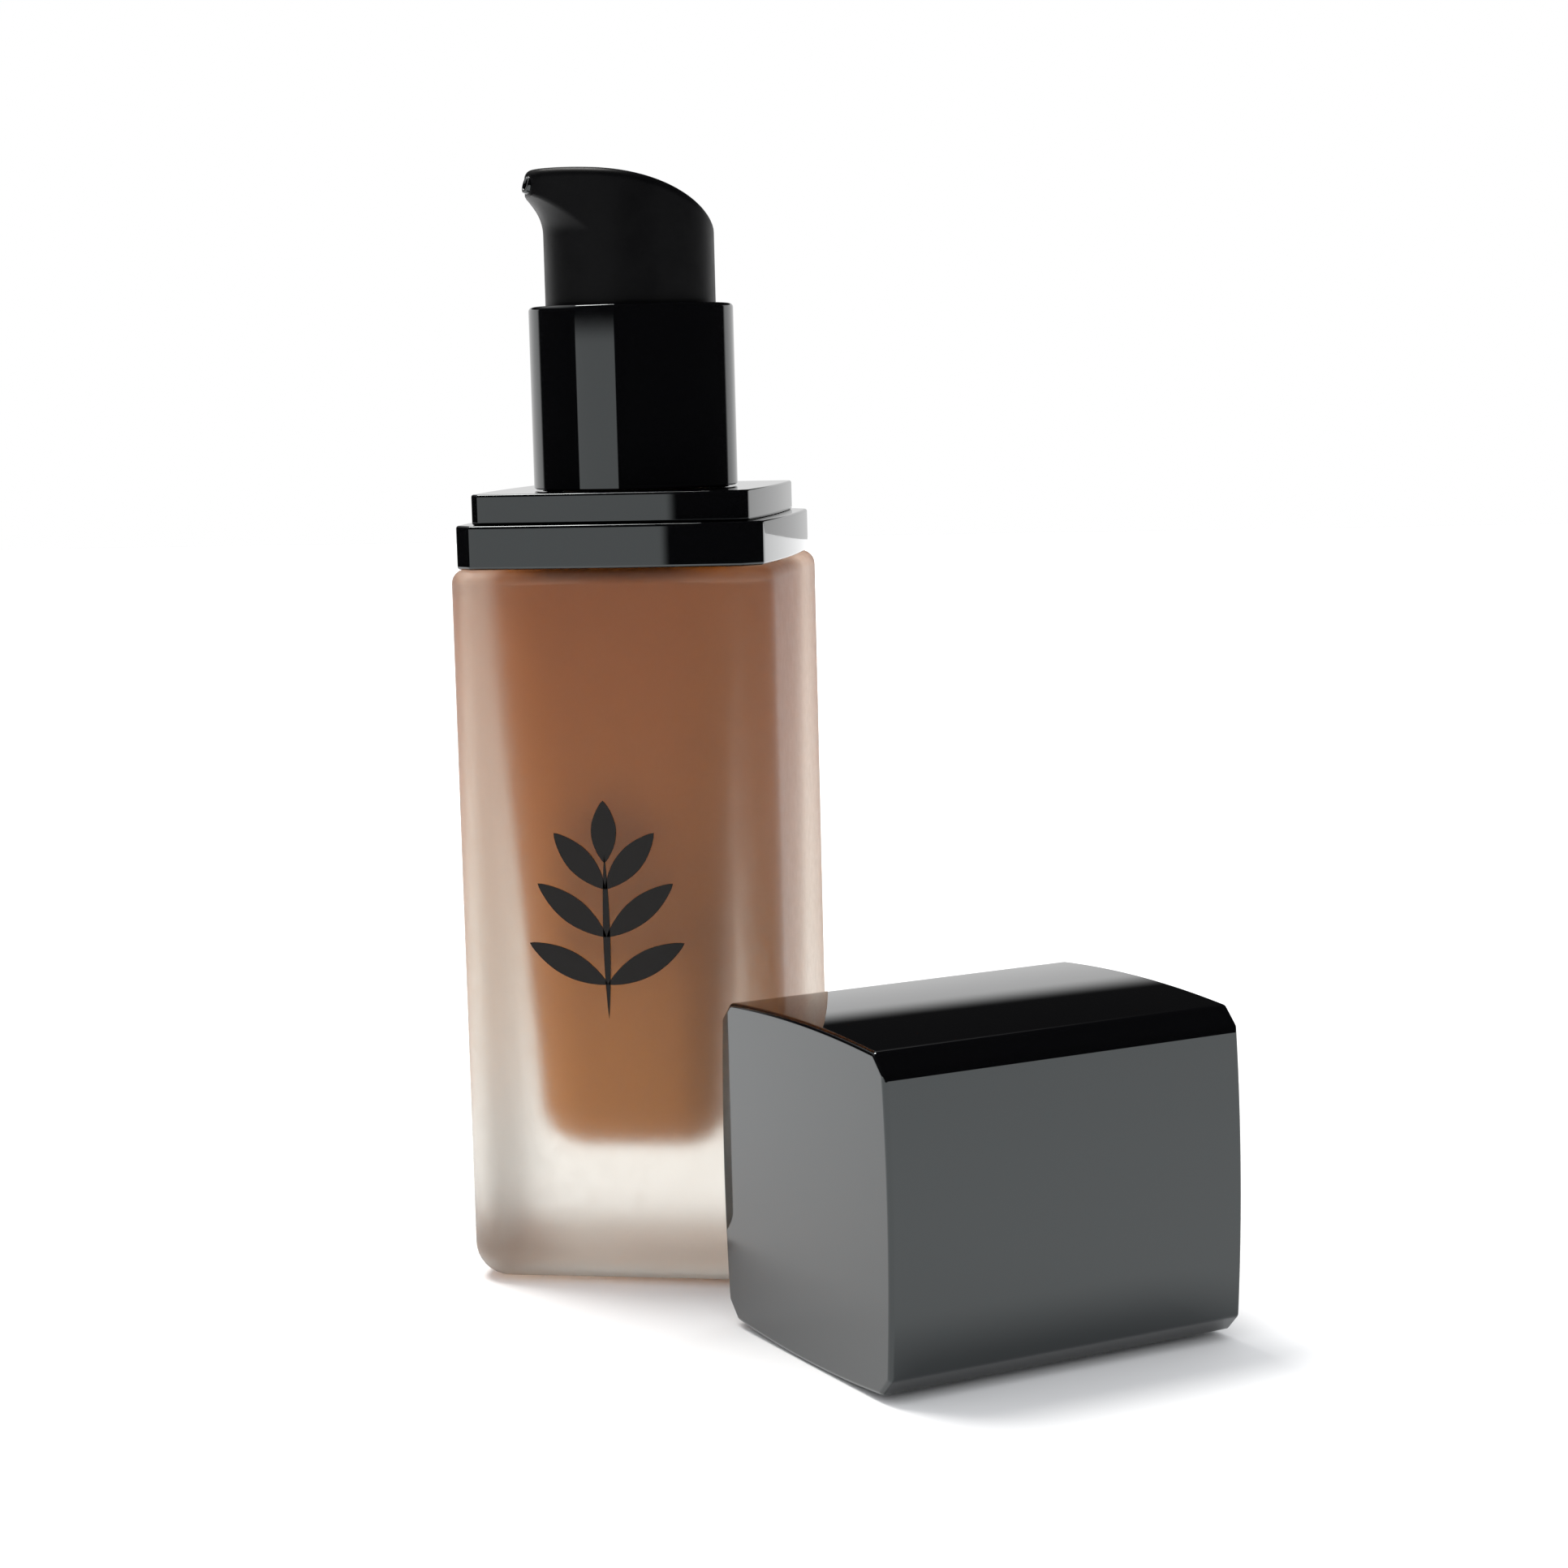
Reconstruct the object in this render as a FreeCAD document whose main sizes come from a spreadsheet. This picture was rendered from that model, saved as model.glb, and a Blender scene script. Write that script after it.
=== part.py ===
import FreeCAD, Part
import os

import Sketcher

# Square glass foundation bottle with a screw-on treatment pump and a loose overcap.
# Everything stands on Z = 0. The bottle's axis is Z, and its printed front faces -Y. The
# pump turns about the same axis. The overcap lies on one side, in front and to the right.

SIZES = {
    # glass bottle and its fill
    "glass_width": 34.5,
    "glass_corner": 4.2,
    "glass_height": 76.1,
    "foot_round": 3.6,
    "shoulder_round": 1.5,
    "cavity_floor": 13.5,
    "cavity_roof": 74.0,
    "cavity_base_half": 10.0,
    "cavity_roof_half": 14.2,
    "cavity_corner": 5.0,
    "cavity_floor_round": 4.5,
    "fill_level": 73.5,
    "fill_gap": 0.05,
    "tube_clearance": 0.3,
    "tail_clearance": 0.5,
    "neck_top": 92.6,
    "neck_radius": 7.95,
    "neck_foot_radius": 8.6,
    "neck_bore": 5.8,
    "neck_taper": 0.5,
    "thread_root_depth": 0.2,
    # screw thread, 8 turns to the inch
    "thread_pitch": 3.175,
    "thread_turns": 1.5,
    "thread_depth": 0.9,
    "thread_root": 1.3,
    "thread_crest": 0.8,
    "thread_start": 86.6,
    "thread_play": 0.1,
    # square plates over the shoulder, and the outline they share with the overcap
    "plate_half": 16.95,
    "plate_crown": 0.6,
    "plate_chamfer": 1.8,
    "plate_top": 80.7,
    "seat_half": 15.25,
    "seat_crown": 0.5,
    "seat_chamfer": 0.8,
    "seat_top": 83.9,
    "plate_edge": 0.3,
    "plate_bore": 8.65,
    # closure and its glossy sleeve
    "closure_base": 84.25,
    "closure_bore": 9.05,
    "closure_radius": 10.1,
    "deck_base": 94.6,
    "deck_top": 95.8,
    "deck_bore": 5.4,
    "sleeve_base": 84.0,
    "sleeve_radius": 11.0,
    "sleeve_top": 103.4,
    "sleeve_mouth": 9.5,
    "sleeve_edge": 0.45,
    # pump housing, from its flange down to the dip tube
    "gasket_thick": 0.8,
    "gasket_radius": 7.8,
    "gasket_bore": 5.5,
    "rest_gap": 0.05,
    "flange_radius": 7.6,
    "housing_radius": 5.2,
    "cylinder_bore": 4.0,
    "spring_ledge": 77.0,
    "chamber_radius": 1.9,
    "ball_lip_radius": 1.4,
    "valve_seat": 72.7,
    "valve_bore": 1.0,
    "tail_radius": 2.6,
    "tail_base": 66.0,
    "tube_seat": 72.0,
    "step_height": 1.4,
    "chamber_wall": 1.0,
    "chamber_start": 74.2,
    "ball_lip_height": 0.4,
    "ball_lip_width": 0.15,
    "tube_radius": 1.6,
    "tube_bore": 1.1,
    "tube_base": 14.8,
    "tube_top": 71.9,
    "ball_radius": 1.5,
    "ball_slack": 0.02,
    # lock ring that holds the stem in the housing
    "ring_base": 92.9,
    "ring_bore": 2.8,
    "ring_radius": 5.3,
    "ring_bead": 5.9,
    "ring_top": 97.2,
    "bead_base": 96.0,
    "bead_rise": 0.15,
    "bead_chamfer": 0.5,
    # stem, piston, plug and spring
    "stem_radius": 2.7,
    "stem_waist": 1.9,
    "stem_bore": 1.1,
    "stem_shoulder": 92.75,
    "stem_cone": 92.95,
    "stem_top": 107.0,
    "port_radius": 0.4,
    "port_level": 89.3,
    "plug_base": 86.5,
    "plug_top": 87.65,
    "plug_radius": 3.6,
    "plug_stud": 0.95,
    "stud_top": 88.6,
    "piston_base": 87.7,
    "piston_top": 91.9,
    "piston_radius": 3.95,
    "piston_groove": 3.4,
    "piston_lip": 0.8,
    "piston_bore": 1.95,
    "piston_relief": 2.4,
    "relief_top": 90.1,
    "spring_radius": 3.2,
    "spring_wire": 0.275,
    "spring_turns": 6,
    # actuator: head, inner core with its duct, and the nozzle insert
    "nozzle_azimuth": 212.0,
    "head_radius": 9.15,
    "head_base": 100.6,
    "head_top": 117.8,
    "head_roof": 110.5,
    "head_wall": 0.95,
    "head_edge": 0.9,
    "crown_radius": 28.7,
    "crown_peak": 9.0,
    "spout_reach": 11.3,
    "spout_half": 1.6,
    "spout_corner": 1.2,
    "spout_start": 111.0,
    "spout_lip": 115.3,
    "spout_flare": 2.6,
    "core_radius": 3.8,
    "core_base": 102.0,
    "core_top": 114.4,
    "core_neck": 2.6,
    "socket_radius": 2.75,
    "duct_level": 112.75,
    "duct_rise": 17.0,
    "duct_radius": 1.3,
    "duct_bore": 0.75,
    "duct_length": 9.0,
    "insert_radius": 1.0,
    "insert_bore": 0.65,
    "insert_end": 11.75,
    "core_gap": 0.05,
    "socket_top": 107.1,
    # overcap
    "cap_length": 39.8,
    "cap_wall": 1.0,
    "cap_edge": 0.45,
    "liner_half": 15.95,
    "liner_crown": 0.55,
    "liner_chamfer": 1.25,
    "liner_wall": 0.58,
    "liner_inner_chamfer": 0.85,
    "liner_recess": 0.4,
    "cap_x": 23.4,
    "cap_y": -42.55,
    "cap_yaw": 37.6,
}

doc = FreeCAD.newDocument("foundation_bottle")
sheet = doc.addObject("Spreadsheet::Sheet", "dims")
for row, (alias, size) in enumerate(SIZES.items(), start=1):
    sheet.set(f"A{row}", alias)
    sheet.set(f"B{row}", str(size))
    sheet.setAlias(f"B{row}", alias)
doc.recompute()


def new_body(name):
    """Start a sub-part: its label is also the name of its file."""
    body = doc.addObject("PartDesign::Body", name)
    body.Label = name
    return body


def new_sketch(body, name, role, level=None):
    """Attach a sketch to one of the body's own origin planes, raised to a level if one is given."""
    sketch = body.newObject("Sketcher::SketchObject", name)
    plane = [entry for entry in body.Origin.OriginFeatures if entry.Role == role][0]
    sketch.AttachmentSupport = (plane, "")
    sketch.MapMode = "FlatFace"
    if level:
        sketch.setExpression("AttachmentOffset.Base.z", level)
    return sketch


def bind(sketch, constraint, formula):
    """Add a dimension whose value comes from the sheet."""
    number = sketch.addConstraint(constraint)
    sketch.setExpression(f"Constraints[{number}]", formula)


def place_point(sketch, index, point, across, up):
    """Hold a point at a distance across and up from the sketch's origin."""
    for kind, axis, formula in (("DistanceX", -2, across), ("DistanceY", -1, up)):
        if formula == "0":
            sketch.addConstraint(Sketcher.Constraint("PointOnObject", index, point, axis))
        else:
            bind(sketch, Sketcher.Constraint(kind, -1, 1, index, point, 1.0), formula)


def draw_side(sketch, start, end, sag):
    """Join two points by a line, or by an arc that bulges to the right by sag (left if negative)."""
    if sag < 0:
        start, end = end, start
    first = FreeCAD.Vector(sketch.Geometry[start].X, sketch.Geometry[start].Y, 0)
    last = FreeCAD.Vector(sketch.Geometry[end].X, sketch.Geometry[end].Y, 0)
    if sag:
        chord = last - first
        middle = (first + last) * 0.5 + FreeCAD.Vector(chord.y, -chord.x, 0) * (abs(sag) / chord.Length)
        side = sketch.addGeometry(Part.Arc(first, middle, last), False)
    else:
        side = sketch.addGeometry(Part.LineSegment(first, last), False)
    sketch.addConstraint(Sketcher.Constraint("Coincident", side, 1, start, 1))
    sketch.addConstraint(Sketcher.Constraint("Coincident", side, 2, end, 1))
    return side


def outline(body, name, role, points, arcs=None, level=None):
    """Draw a closed outline through points given as formulas of the sheet.

    arcs maps the number of a side to its radius formula and to a rough sag, whose sign
    says which way that side bulges (positive is to the right of the way round).
    """
    arcs = arcs or {}
    sketch = new_sketch(body, name, role, level)
    for index, (across, up) in enumerate(points):
        sketch.addGeometry(Part.Point(FreeCAD.Vector(index + 1, index % 3 + 1, 0)), True)
        place_point(sketch, index, 1, across, up)
    doc.recompute()
    count = len(points)
    for index in range(count):
        radius, sag = arcs.get(index, (None, 0))
        side = draw_side(sketch, index, (index + 1) % count, sag)
        if radius:
            bind(sketch, Sketcher.Constraint("Radius", side, abs(sag)), radius)
    return sketch


def round_sketch(body, name, role, radius, across="0", up="0", level=None):
    """Draw one circle."""
    sketch = new_sketch(body, name, role, level)
    sketch.addGeometry(Part.Circle(FreeCAD.Vector(1, 1, 0), FreeCAD.Vector(0, 0, 1), 1), False)
    if across == "0" and up == "0":
        sketch.addConstraint(Sketcher.Constraint("Coincident", 0, 3, -1, 1))
    else:
        place_point(sketch, 0, 3, across, up)
    bind(sketch, Sketcher.Constraint("Radius", 0, 1.0), radius)
    return sketch


def rounded_square(body, name, half, corner, level=None):
    """Draw a square with round corners, centred on the axis."""
    flat = f"({half} - {corner})"
    points = [
        (half, f"-{flat}"), (half, flat), (flat, half), (f"-{flat}", half),
        (f"-({half})", flat), (f"-({half})", f"-{flat}"), (f"-{flat}", f"-({half})"),
        (flat, f"-({half})"),
    ]
    arcs = {side: (corner, 1.2) for side in (1, 3, 5, 7)}
    return outline(body, name, "XY_Plane", points, arcs, level)


def crowned_square(body, name, role, half, crown, chamfer, level=None):
    """Draw a square with chamfered corners whose sides bow out by crown at their middles."""
    edge = f"({half} - {crown})"
    reach = f"({half} - {crown} - {chamfer})"
    bow = f"({reach} * {reach} + {crown} * {crown}) / (2 * {crown})"
    points = [
        (edge, f"-{reach}"), (edge, reach), (reach, edge), (f"-{reach}", edge),
        (f"-{edge}", reach), (f"-{edge}", f"-{reach}"), (f"-{reach}", f"-{edge}"),
        (reach, f"-{edge}"),
    ]
    arcs = {side: (bow, 0.5) for side in (0, 2, 4, 6)}
    return outline(body, name, role, points, arcs, level)


def feature(body, kind, name, **settings):
    """Add a feature, set its plain properties, and bind those given as formulas."""
    made = body.newObject(f"PartDesign::{kind}", name)
    for key, entry in settings.items():
        if isinstance(entry, str) and "dims." in entry:
            made.setExpression(key, entry)
        else:
            setattr(made, key, entry)
    doc.recompute()
    return made


def pad(body, name, sketch, length):
    """Raise a sketch into a solid of a length."""
    return feature(body, "Pad", name, Profile=sketch, Length=length)


def pocket_up(body, name, sketch, length):
    """Cut upwards from the sketch's plane."""
    return feature(body, "Pocket", name, Profile=sketch, Length=length, Reversed=True)


def turned(body, kind, name, points, arcs=None):
    """Turn an outline of (radius, level) points about the axis, to add or to cut."""
    sketch = outline(body, f"{name}_profile", "XZ_Plane", points, arcs)
    return feature(body, kind, name, Profile=sketch, ReferenceAxis=(sketch, ["V_Axis"]), Angle=360)


def thread(body, kind, name, root, crest, level, pitch="dims.thread_pitch", turns="dims.thread_turns"):
    """Run a tapered ridge round the axis, from root radius to crest radius."""
    points = [
        (root, f"{level} - dims.thread_root / 2"), (crest, f"{level} - dims.thread_crest / 2"),
        (crest, f"{level} + dims.thread_crest / 2"), (root, f"{level} + dims.thread_root / 2"),
    ]
    sketch = outline(body, f"{name}_profile", "XZ_Plane", points)
    return feature(body, kind, name, Profile=sketch, ReferenceAxis=(sketch, ["V_Axis"]), Mode=0,
                   Pitch=pitch, Height=f"{turns} * {pitch}")


def edge_names(base, chosen):
    """Name the edges of a feature that a test picks out by their bounding box."""
    return [f"Edge{number}" for number, edge in enumerate(base.Shape.Edges, start=1)
            if chosen(edge.BoundBox)]


def lies_at(alias_or_level, axis="Z"):
    """Make the test for edges that lie in one level plane."""
    level = sheet.get(alias_or_level) if isinstance(alias_or_level, str) else alias_or_level
    return lambda box: (abs(getattr(box, f"{axis}Min") - level) < 0.01
                        and abs(getattr(box, f"{axis}Max") - level) < 0.01)


def fillet(body, name, base, chosen, radius):
    """Round the edges that a test picks out."""
    return feature(body, "Fillet", name, Base=(base, edge_names(base, chosen)), Radius=radius)


def tapered(body, kind, name, inset, length, **settings):
    """Widen a round-cornered square from the cavity's floor up, smaller all round by inset."""
    floor = rounded_square(body, f"{name}_floor", f"(dims.cavity_base_half - {inset})",
                           f"(dims.cavity_corner - {inset})", f"dims.cavity_floor + {inset}")
    slope = ("atan((dims.cavity_roof_half - dims.cavity_base_half)"
             " / (dims.cavity_roof - dims.cavity_floor))")
    return feature(body, kind, name, Profile=floor, Length=length, TaperAngle=slope, **settings)


# ---- bottle ----

def make_bottle_glass():
    """Thick moulded glass: a square outside, a tapered square cavity, and a threaded neck."""
    body = new_body("bottle_glass")
    block = pad(body, "block", rounded_square(body, "block_outline", "dims.glass_width / 2",
                                              "dims.glass_corner"), "dims.glass_height")
    foot = fillet(body, "foot", block, lies_at(0.0), "dims.foot_round")
    shoulder = fillet(body, "shoulder", foot, lies_at("glass_height"), "dims.shoulder_round")
    cavity = tapered(body, "Pocket", "cavity", "0", "dims.cavity_roof - dims.cavity_floor", Reversed=True)
    fillet(body, "cavity_floor_curve", cavity, lies_at("cavity_floor"), "dims.cavity_floor_round")
    turned(body, "Revolution", "neck", [
        ("dims.neck_bore", "dims.cavity_roof"), ("dims.neck_foot_radius", "dims.cavity_roof"),
        ("dims.neck_foot_radius", "dims.seat_top - dims.neck_taper"), ("dims.neck_radius", "dims.seat_top"),
        ("dims.neck_radius", "dims.neck_top"), ("dims.neck_bore", "dims.neck_top"),
    ])
    bore = round_sketch(body, "bore_outline", "XY_Plane", "dims.neck_bore", level="dims.cavity_roof - 0.5")
    pocket_up(body, "bore", bore, "dims.neck_top - dims.cavity_roof + 1")
    thread(body, "AdditiveHelix", "neck_thread", "(dims.neck_radius - dims.thread_root_depth)",
           "(dims.neck_radius + dims.thread_depth)", "dims.thread_start")
    return body


def make_foundation_fill():
    """The cosmetic itself, filling the cavity around the pump's tail and dip tube."""
    body = new_body("foundation_fill")
    fill = tapered(body, "Pad", "fill", "dims.fill_gap", "dims.fill_level - dims.cavity_floor")
    level = sheet.get("cavity_floor") + sheet.get("fill_gap")
    fillet(body, "fill_floor_curve", fill, lies_at(level), "dims.cavity_floor_round")
    turned(body, "Groove", "pump_space", [
        ("0", "dims.tube_base - dims.tail_clearance"),
        ("dims.tube_radius + dims.tube_clearance", "dims.tube_base - dims.tail_clearance"),
        ("dims.tube_radius + dims.tube_clearance", "dims.tail_base - dims.tail_clearance"),
        ("dims.tail_radius + dims.tail_clearance", "dims.tail_base - dims.tail_clearance"),
        ("dims.tail_radius + dims.tail_clearance", "dims.fill_level + 1"), ("0", "dims.fill_level + 1"),
    ])
    return body


def make_square_plate(name, half, crown, chamfer, base, top):
    """One square gloss plate with crowned sides, and a hole for the bottle's neck."""
    body = new_body(name)
    slab = pad(body, "slab", crowned_square(body, "slab_outline", "XY_Plane", half, crown, chamfer, base),
               f"{top} - {base}")
    fillet(body, "top_edge", slab, lies_at(top.removeprefix("dims.")), "dims.plate_edge")
    hole = round_sketch(body, "hole_outline", "XY_Plane", "dims.plate_bore", level=f"{base} - 1")
    pocket_up(body, "hole", hole, f"{top} - {base} + 2")
    return body


# ---- closure ----

def make_screw_closure():
    """Threaded cap of the pump: it pulls the pump's flange down on to the neck."""
    body = new_body("screw_closure")
    turned(body, "Revolution", "cup", [
        ("dims.closure_bore", "dims.closure_base"), ("dims.closure_radius", "dims.closure_base"),
        ("dims.closure_radius", "dims.deck_top"), ("dims.deck_bore", "dims.deck_top"),
        ("dims.deck_bore", "dims.deck_base"), ("dims.closure_bore", "dims.deck_base"),
    ])
    middle = "(dims.thread_root + dims.thread_crest) / 2"
    thread(body, "AdditiveHelix", "closure_thread", "(dims.closure_bore + dims.thread_root_depth)",
           "(dims.closure_bore - dims.thread_depth)",
           f"dims.thread_start - {middle} - dims.thread_play")
    return body


def make_collar_sleeve():
    """Glossy sleeve pressed over the closure, with a narrower mouth round the head."""
    body = new_body("collar_sleeve")
    tube = turned(body, "Revolution", "tube", [
        ("dims.closure_radius", "dims.sleeve_base"), ("dims.sleeve_radius", "dims.sleeve_base"),
        ("dims.sleeve_radius", "dims.sleeve_top"), ("dims.sleeve_mouth", "dims.sleeve_top"),
        ("dims.sleeve_mouth", "dims.deck_top"), ("dims.closure_radius", "dims.deck_top"),
    ])
    fillet(body, "rim_round", tube, lies_at("sleeve_top"), "dims.sleeve_edge")
    return body


# ---- pump ----

def make_neck_gasket():
    """Flat seal between the neck's lip and the pump's flange."""
    body = new_body("neck_gasket")
    turned(body, "Revolution", "ring", [
        ("dims.gasket_bore", "dims.neck_top + dims.rest_gap"),
        ("dims.gasket_radius", "dims.neck_top + dims.rest_gap"),
        ("dims.gasket_radius", "dims.neck_top + dims.gasket_thick"),
        ("dims.gasket_bore", "dims.neck_top + dims.gasket_thick"),
    ])
    return body


def make_pump_housing():
    """Stepped pump body: flange, cylinder, spring ledge, ball chamber, valve seat and tail."""
    flange_base = "dims.neck_top + dims.gasket_thick"
    flange_top = "dims.deck_base - dims.rest_gap"
    body = new_body("pump_housing")
    turned(body, "Revolution", "shell", [
        ("dims.cylinder_bore", flange_top), ("dims.flange_radius", flange_top),
        ("dims.flange_radius", flange_base), ("dims.housing_radius", flange_base),
        ("dims.housing_radius", "dims.spring_ledge - dims.step_height"),
        ("dims.chamber_radius + dims.chamber_wall", "dims.chamber_start"),
        ("dims.tail_radius", "dims.tube_seat"), ("dims.tail_radius", "dims.tail_base"),
        ("dims.tube_radius", "dims.tail_base"), ("dims.tube_radius", "dims.tube_seat"),
        ("dims.valve_bore", "dims.tube_seat"), ("dims.valve_bore", "dims.valve_seat"),
        ("dims.chamber_radius", "dims.valve_seat + dims.chamber_radius - dims.valve_bore"),
        ("dims.chamber_radius", "dims.spring_ledge - dims.ball_lip_height"),
        ("dims.ball_lip_radius", "dims.spring_ledge - dims.ball_lip_height + dims.ball_lip_width"),
        ("dims.ball_lip_radius", "dims.spring_ledge"), ("dims.cylinder_bore", "dims.spring_ledge"),
    ])
    return body


def make_lock_ring():
    """Ring that snaps into the housing, guides the stem, and holds the closure under its bead."""
    flange_top = "dims.deck_base - dims.rest_gap"
    body = new_body("lock_ring")
    turned(body, "Revolution", "ring", [
        ("dims.ring_bore", "dims.ring_base"), ("dims.cylinder_bore", "dims.ring_base"),
        ("dims.cylinder_bore", flange_top), ("dims.ring_radius", flange_top),
        ("dims.ring_radius", "dims.bead_base"), ("dims.ring_bead", "dims.bead_base + dims.bead_rise"),
        ("dims.ring_bead", "dims.ring_top - dims.bead_chamfer"),
        ("dims.ring_radius", "dims.ring_top"), ("dims.ring_bore", "dims.ring_top"),
    ])
    return body


def make_dip_tube():
    """Straight tube from the housing's tail to just over the cavity's floor."""
    body = new_body("dip_tube")
    turned(body, "Revolution", "tube", [
        ("dims.tube_bore", "dims.tube_base"), ("dims.tube_radius", "dims.tube_base"),
        ("dims.tube_radius", "dims.tube_top"), ("dims.tube_bore", "dims.tube_top"),
    ])
    return body


def make_return_spring():
    """Steel spring that lifts the stem, from the housing's ledge to the stem's plug."""
    body = new_body("return_spring")
    wire = round_sketch(body, "wire", "XZ_Plane", "dims.spring_wire", "dims.spring_radius",
                        "dims.spring_ledge + dims.spring_wire")
    rise = "(dims.plug_base - dims.spring_ledge - 2 * dims.spring_wire)"
    feature(body, "AdditiveHelix", "coil", Profile=wire, ReferenceAxis=(wire, ["V_Axis"]), Mode=0,
            Pitch=f"{rise} / dims.spring_turns", Height=rise)
    return body


def make_check_ball():
    """Ball that rests on the conical inlet seat and lifts as the pump fills."""
    body = new_body("check_ball")
    rest = "dims.valve_seat - dims.valve_bore + dims.ball_radius * sqrt(2) + dims.ball_slack"
    feature(body, "AdditiveSphere", "sphere", Radius="dims.ball_radius")
    body.setExpression(".Placement.Base.z", rest)
    return body


# ---- plunger and piston ----

def make_piston_stem():
    """Hollow stem with two side ports that the piston covers at rest."""
    body = new_body("piston_stem")
    turned(body, "Revolution", "tube", [
        ("dims.stem_bore", "dims.plug_top"), ("dims.stem_waist", "dims.plug_top"),
        ("dims.stem_waist", "dims.stem_shoulder"), ("dims.stem_radius", "dims.stem_cone"),
        ("dims.stem_radius", "dims.stem_top"), ("dims.stem_bore", "dims.stem_top"),
    ])
    port = round_sketch(body, "port_outline", "XZ_Plane", "dims.port_radius", "0", "dims.port_level")
    feature(body, "Pocket", "ports", Profile=port, Length="dims.stem_radius * 4", Midplane=True)
    return body


def make_stem_plug():
    """Plug in the stem's foot: the spring pushes on it, and the piston seals against its flange."""
    body = new_body("stem_plug")
    turned(body, "Revolution", "plug", [
        ("0", "dims.plug_base"), ("dims.plug_radius", "dims.plug_base"),
        ("dims.plug_radius", "dims.plug_top"),
        ("dims.plug_stud", "dims.plug_top"), ("dims.plug_stud", "dims.stud_top"), ("0", "dims.stud_top"),
    ])
    return body


def make_main_piston():
    """Soft piston with a lip at each end. It slips a little on the stem to open the ports."""
    body = new_body("main_piston")
    turned(body, "Revolution", "piston", [
        ("dims.piston_relief", "dims.piston_base"), ("dims.piston_radius", "dims.piston_base"),
        ("dims.piston_radius", "dims.piston_base + dims.piston_lip"),
        ("dims.piston_groove", "dims.piston_base + 2 * dims.piston_lip"),
        ("dims.piston_groove", "dims.piston_top - 2 * dims.piston_lip"),
        ("dims.piston_radius", "dims.piston_top - dims.piston_lip"),
        ("dims.piston_radius", "dims.piston_top"),
        ("dims.piston_bore", "dims.piston_top"), ("dims.piston_bore", "dims.relief_top"),
        ("dims.piston_relief", "dims.relief_top"),
    ])
    return body


# ---- actuator: modelled with its spout along +X, then turned to the nozzle's azimuth ----

def sloping_cylinder(body, kind, name, radius, start, end):
    """Add or cut a cylinder along the duct, which rises from the axis towards the spout."""
    made = feature(body, kind, name, Radius=radius, Height=f"{end} - {start}")
    made.Placement = FreeCAD.Placement(FreeCAD.Vector(), FreeCAD.Rotation(FreeCAD.Vector(0, 1, 0), 1))
    made.setExpression("Placement.Base.x", f"({start}) * cos(dims.duct_rise)")
    made.setExpression("Placement.Base.z", f"dims.duct_level + ({start}) * sin(dims.duct_rise)")
    made.setExpression("Placement.Rotation.Angle", "90 - dims.duct_rise")
    doc.recompute()


def turn_to_nozzle(body):
    """Turn a part that was drawn with its spout along +X to the nozzle's azimuth."""
    body.setExpression(".Placement.Rotation.Angle", "dims.nozzle_azimuth")


def crown_level(distance):
    """Level of the head's top curve at a distance back or forward of its peak."""
    return f"dims.head_top - dims.crown_radius + sqrt(dims.crown_radius ^ 2 - ({distance}) ^ 2)"


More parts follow.
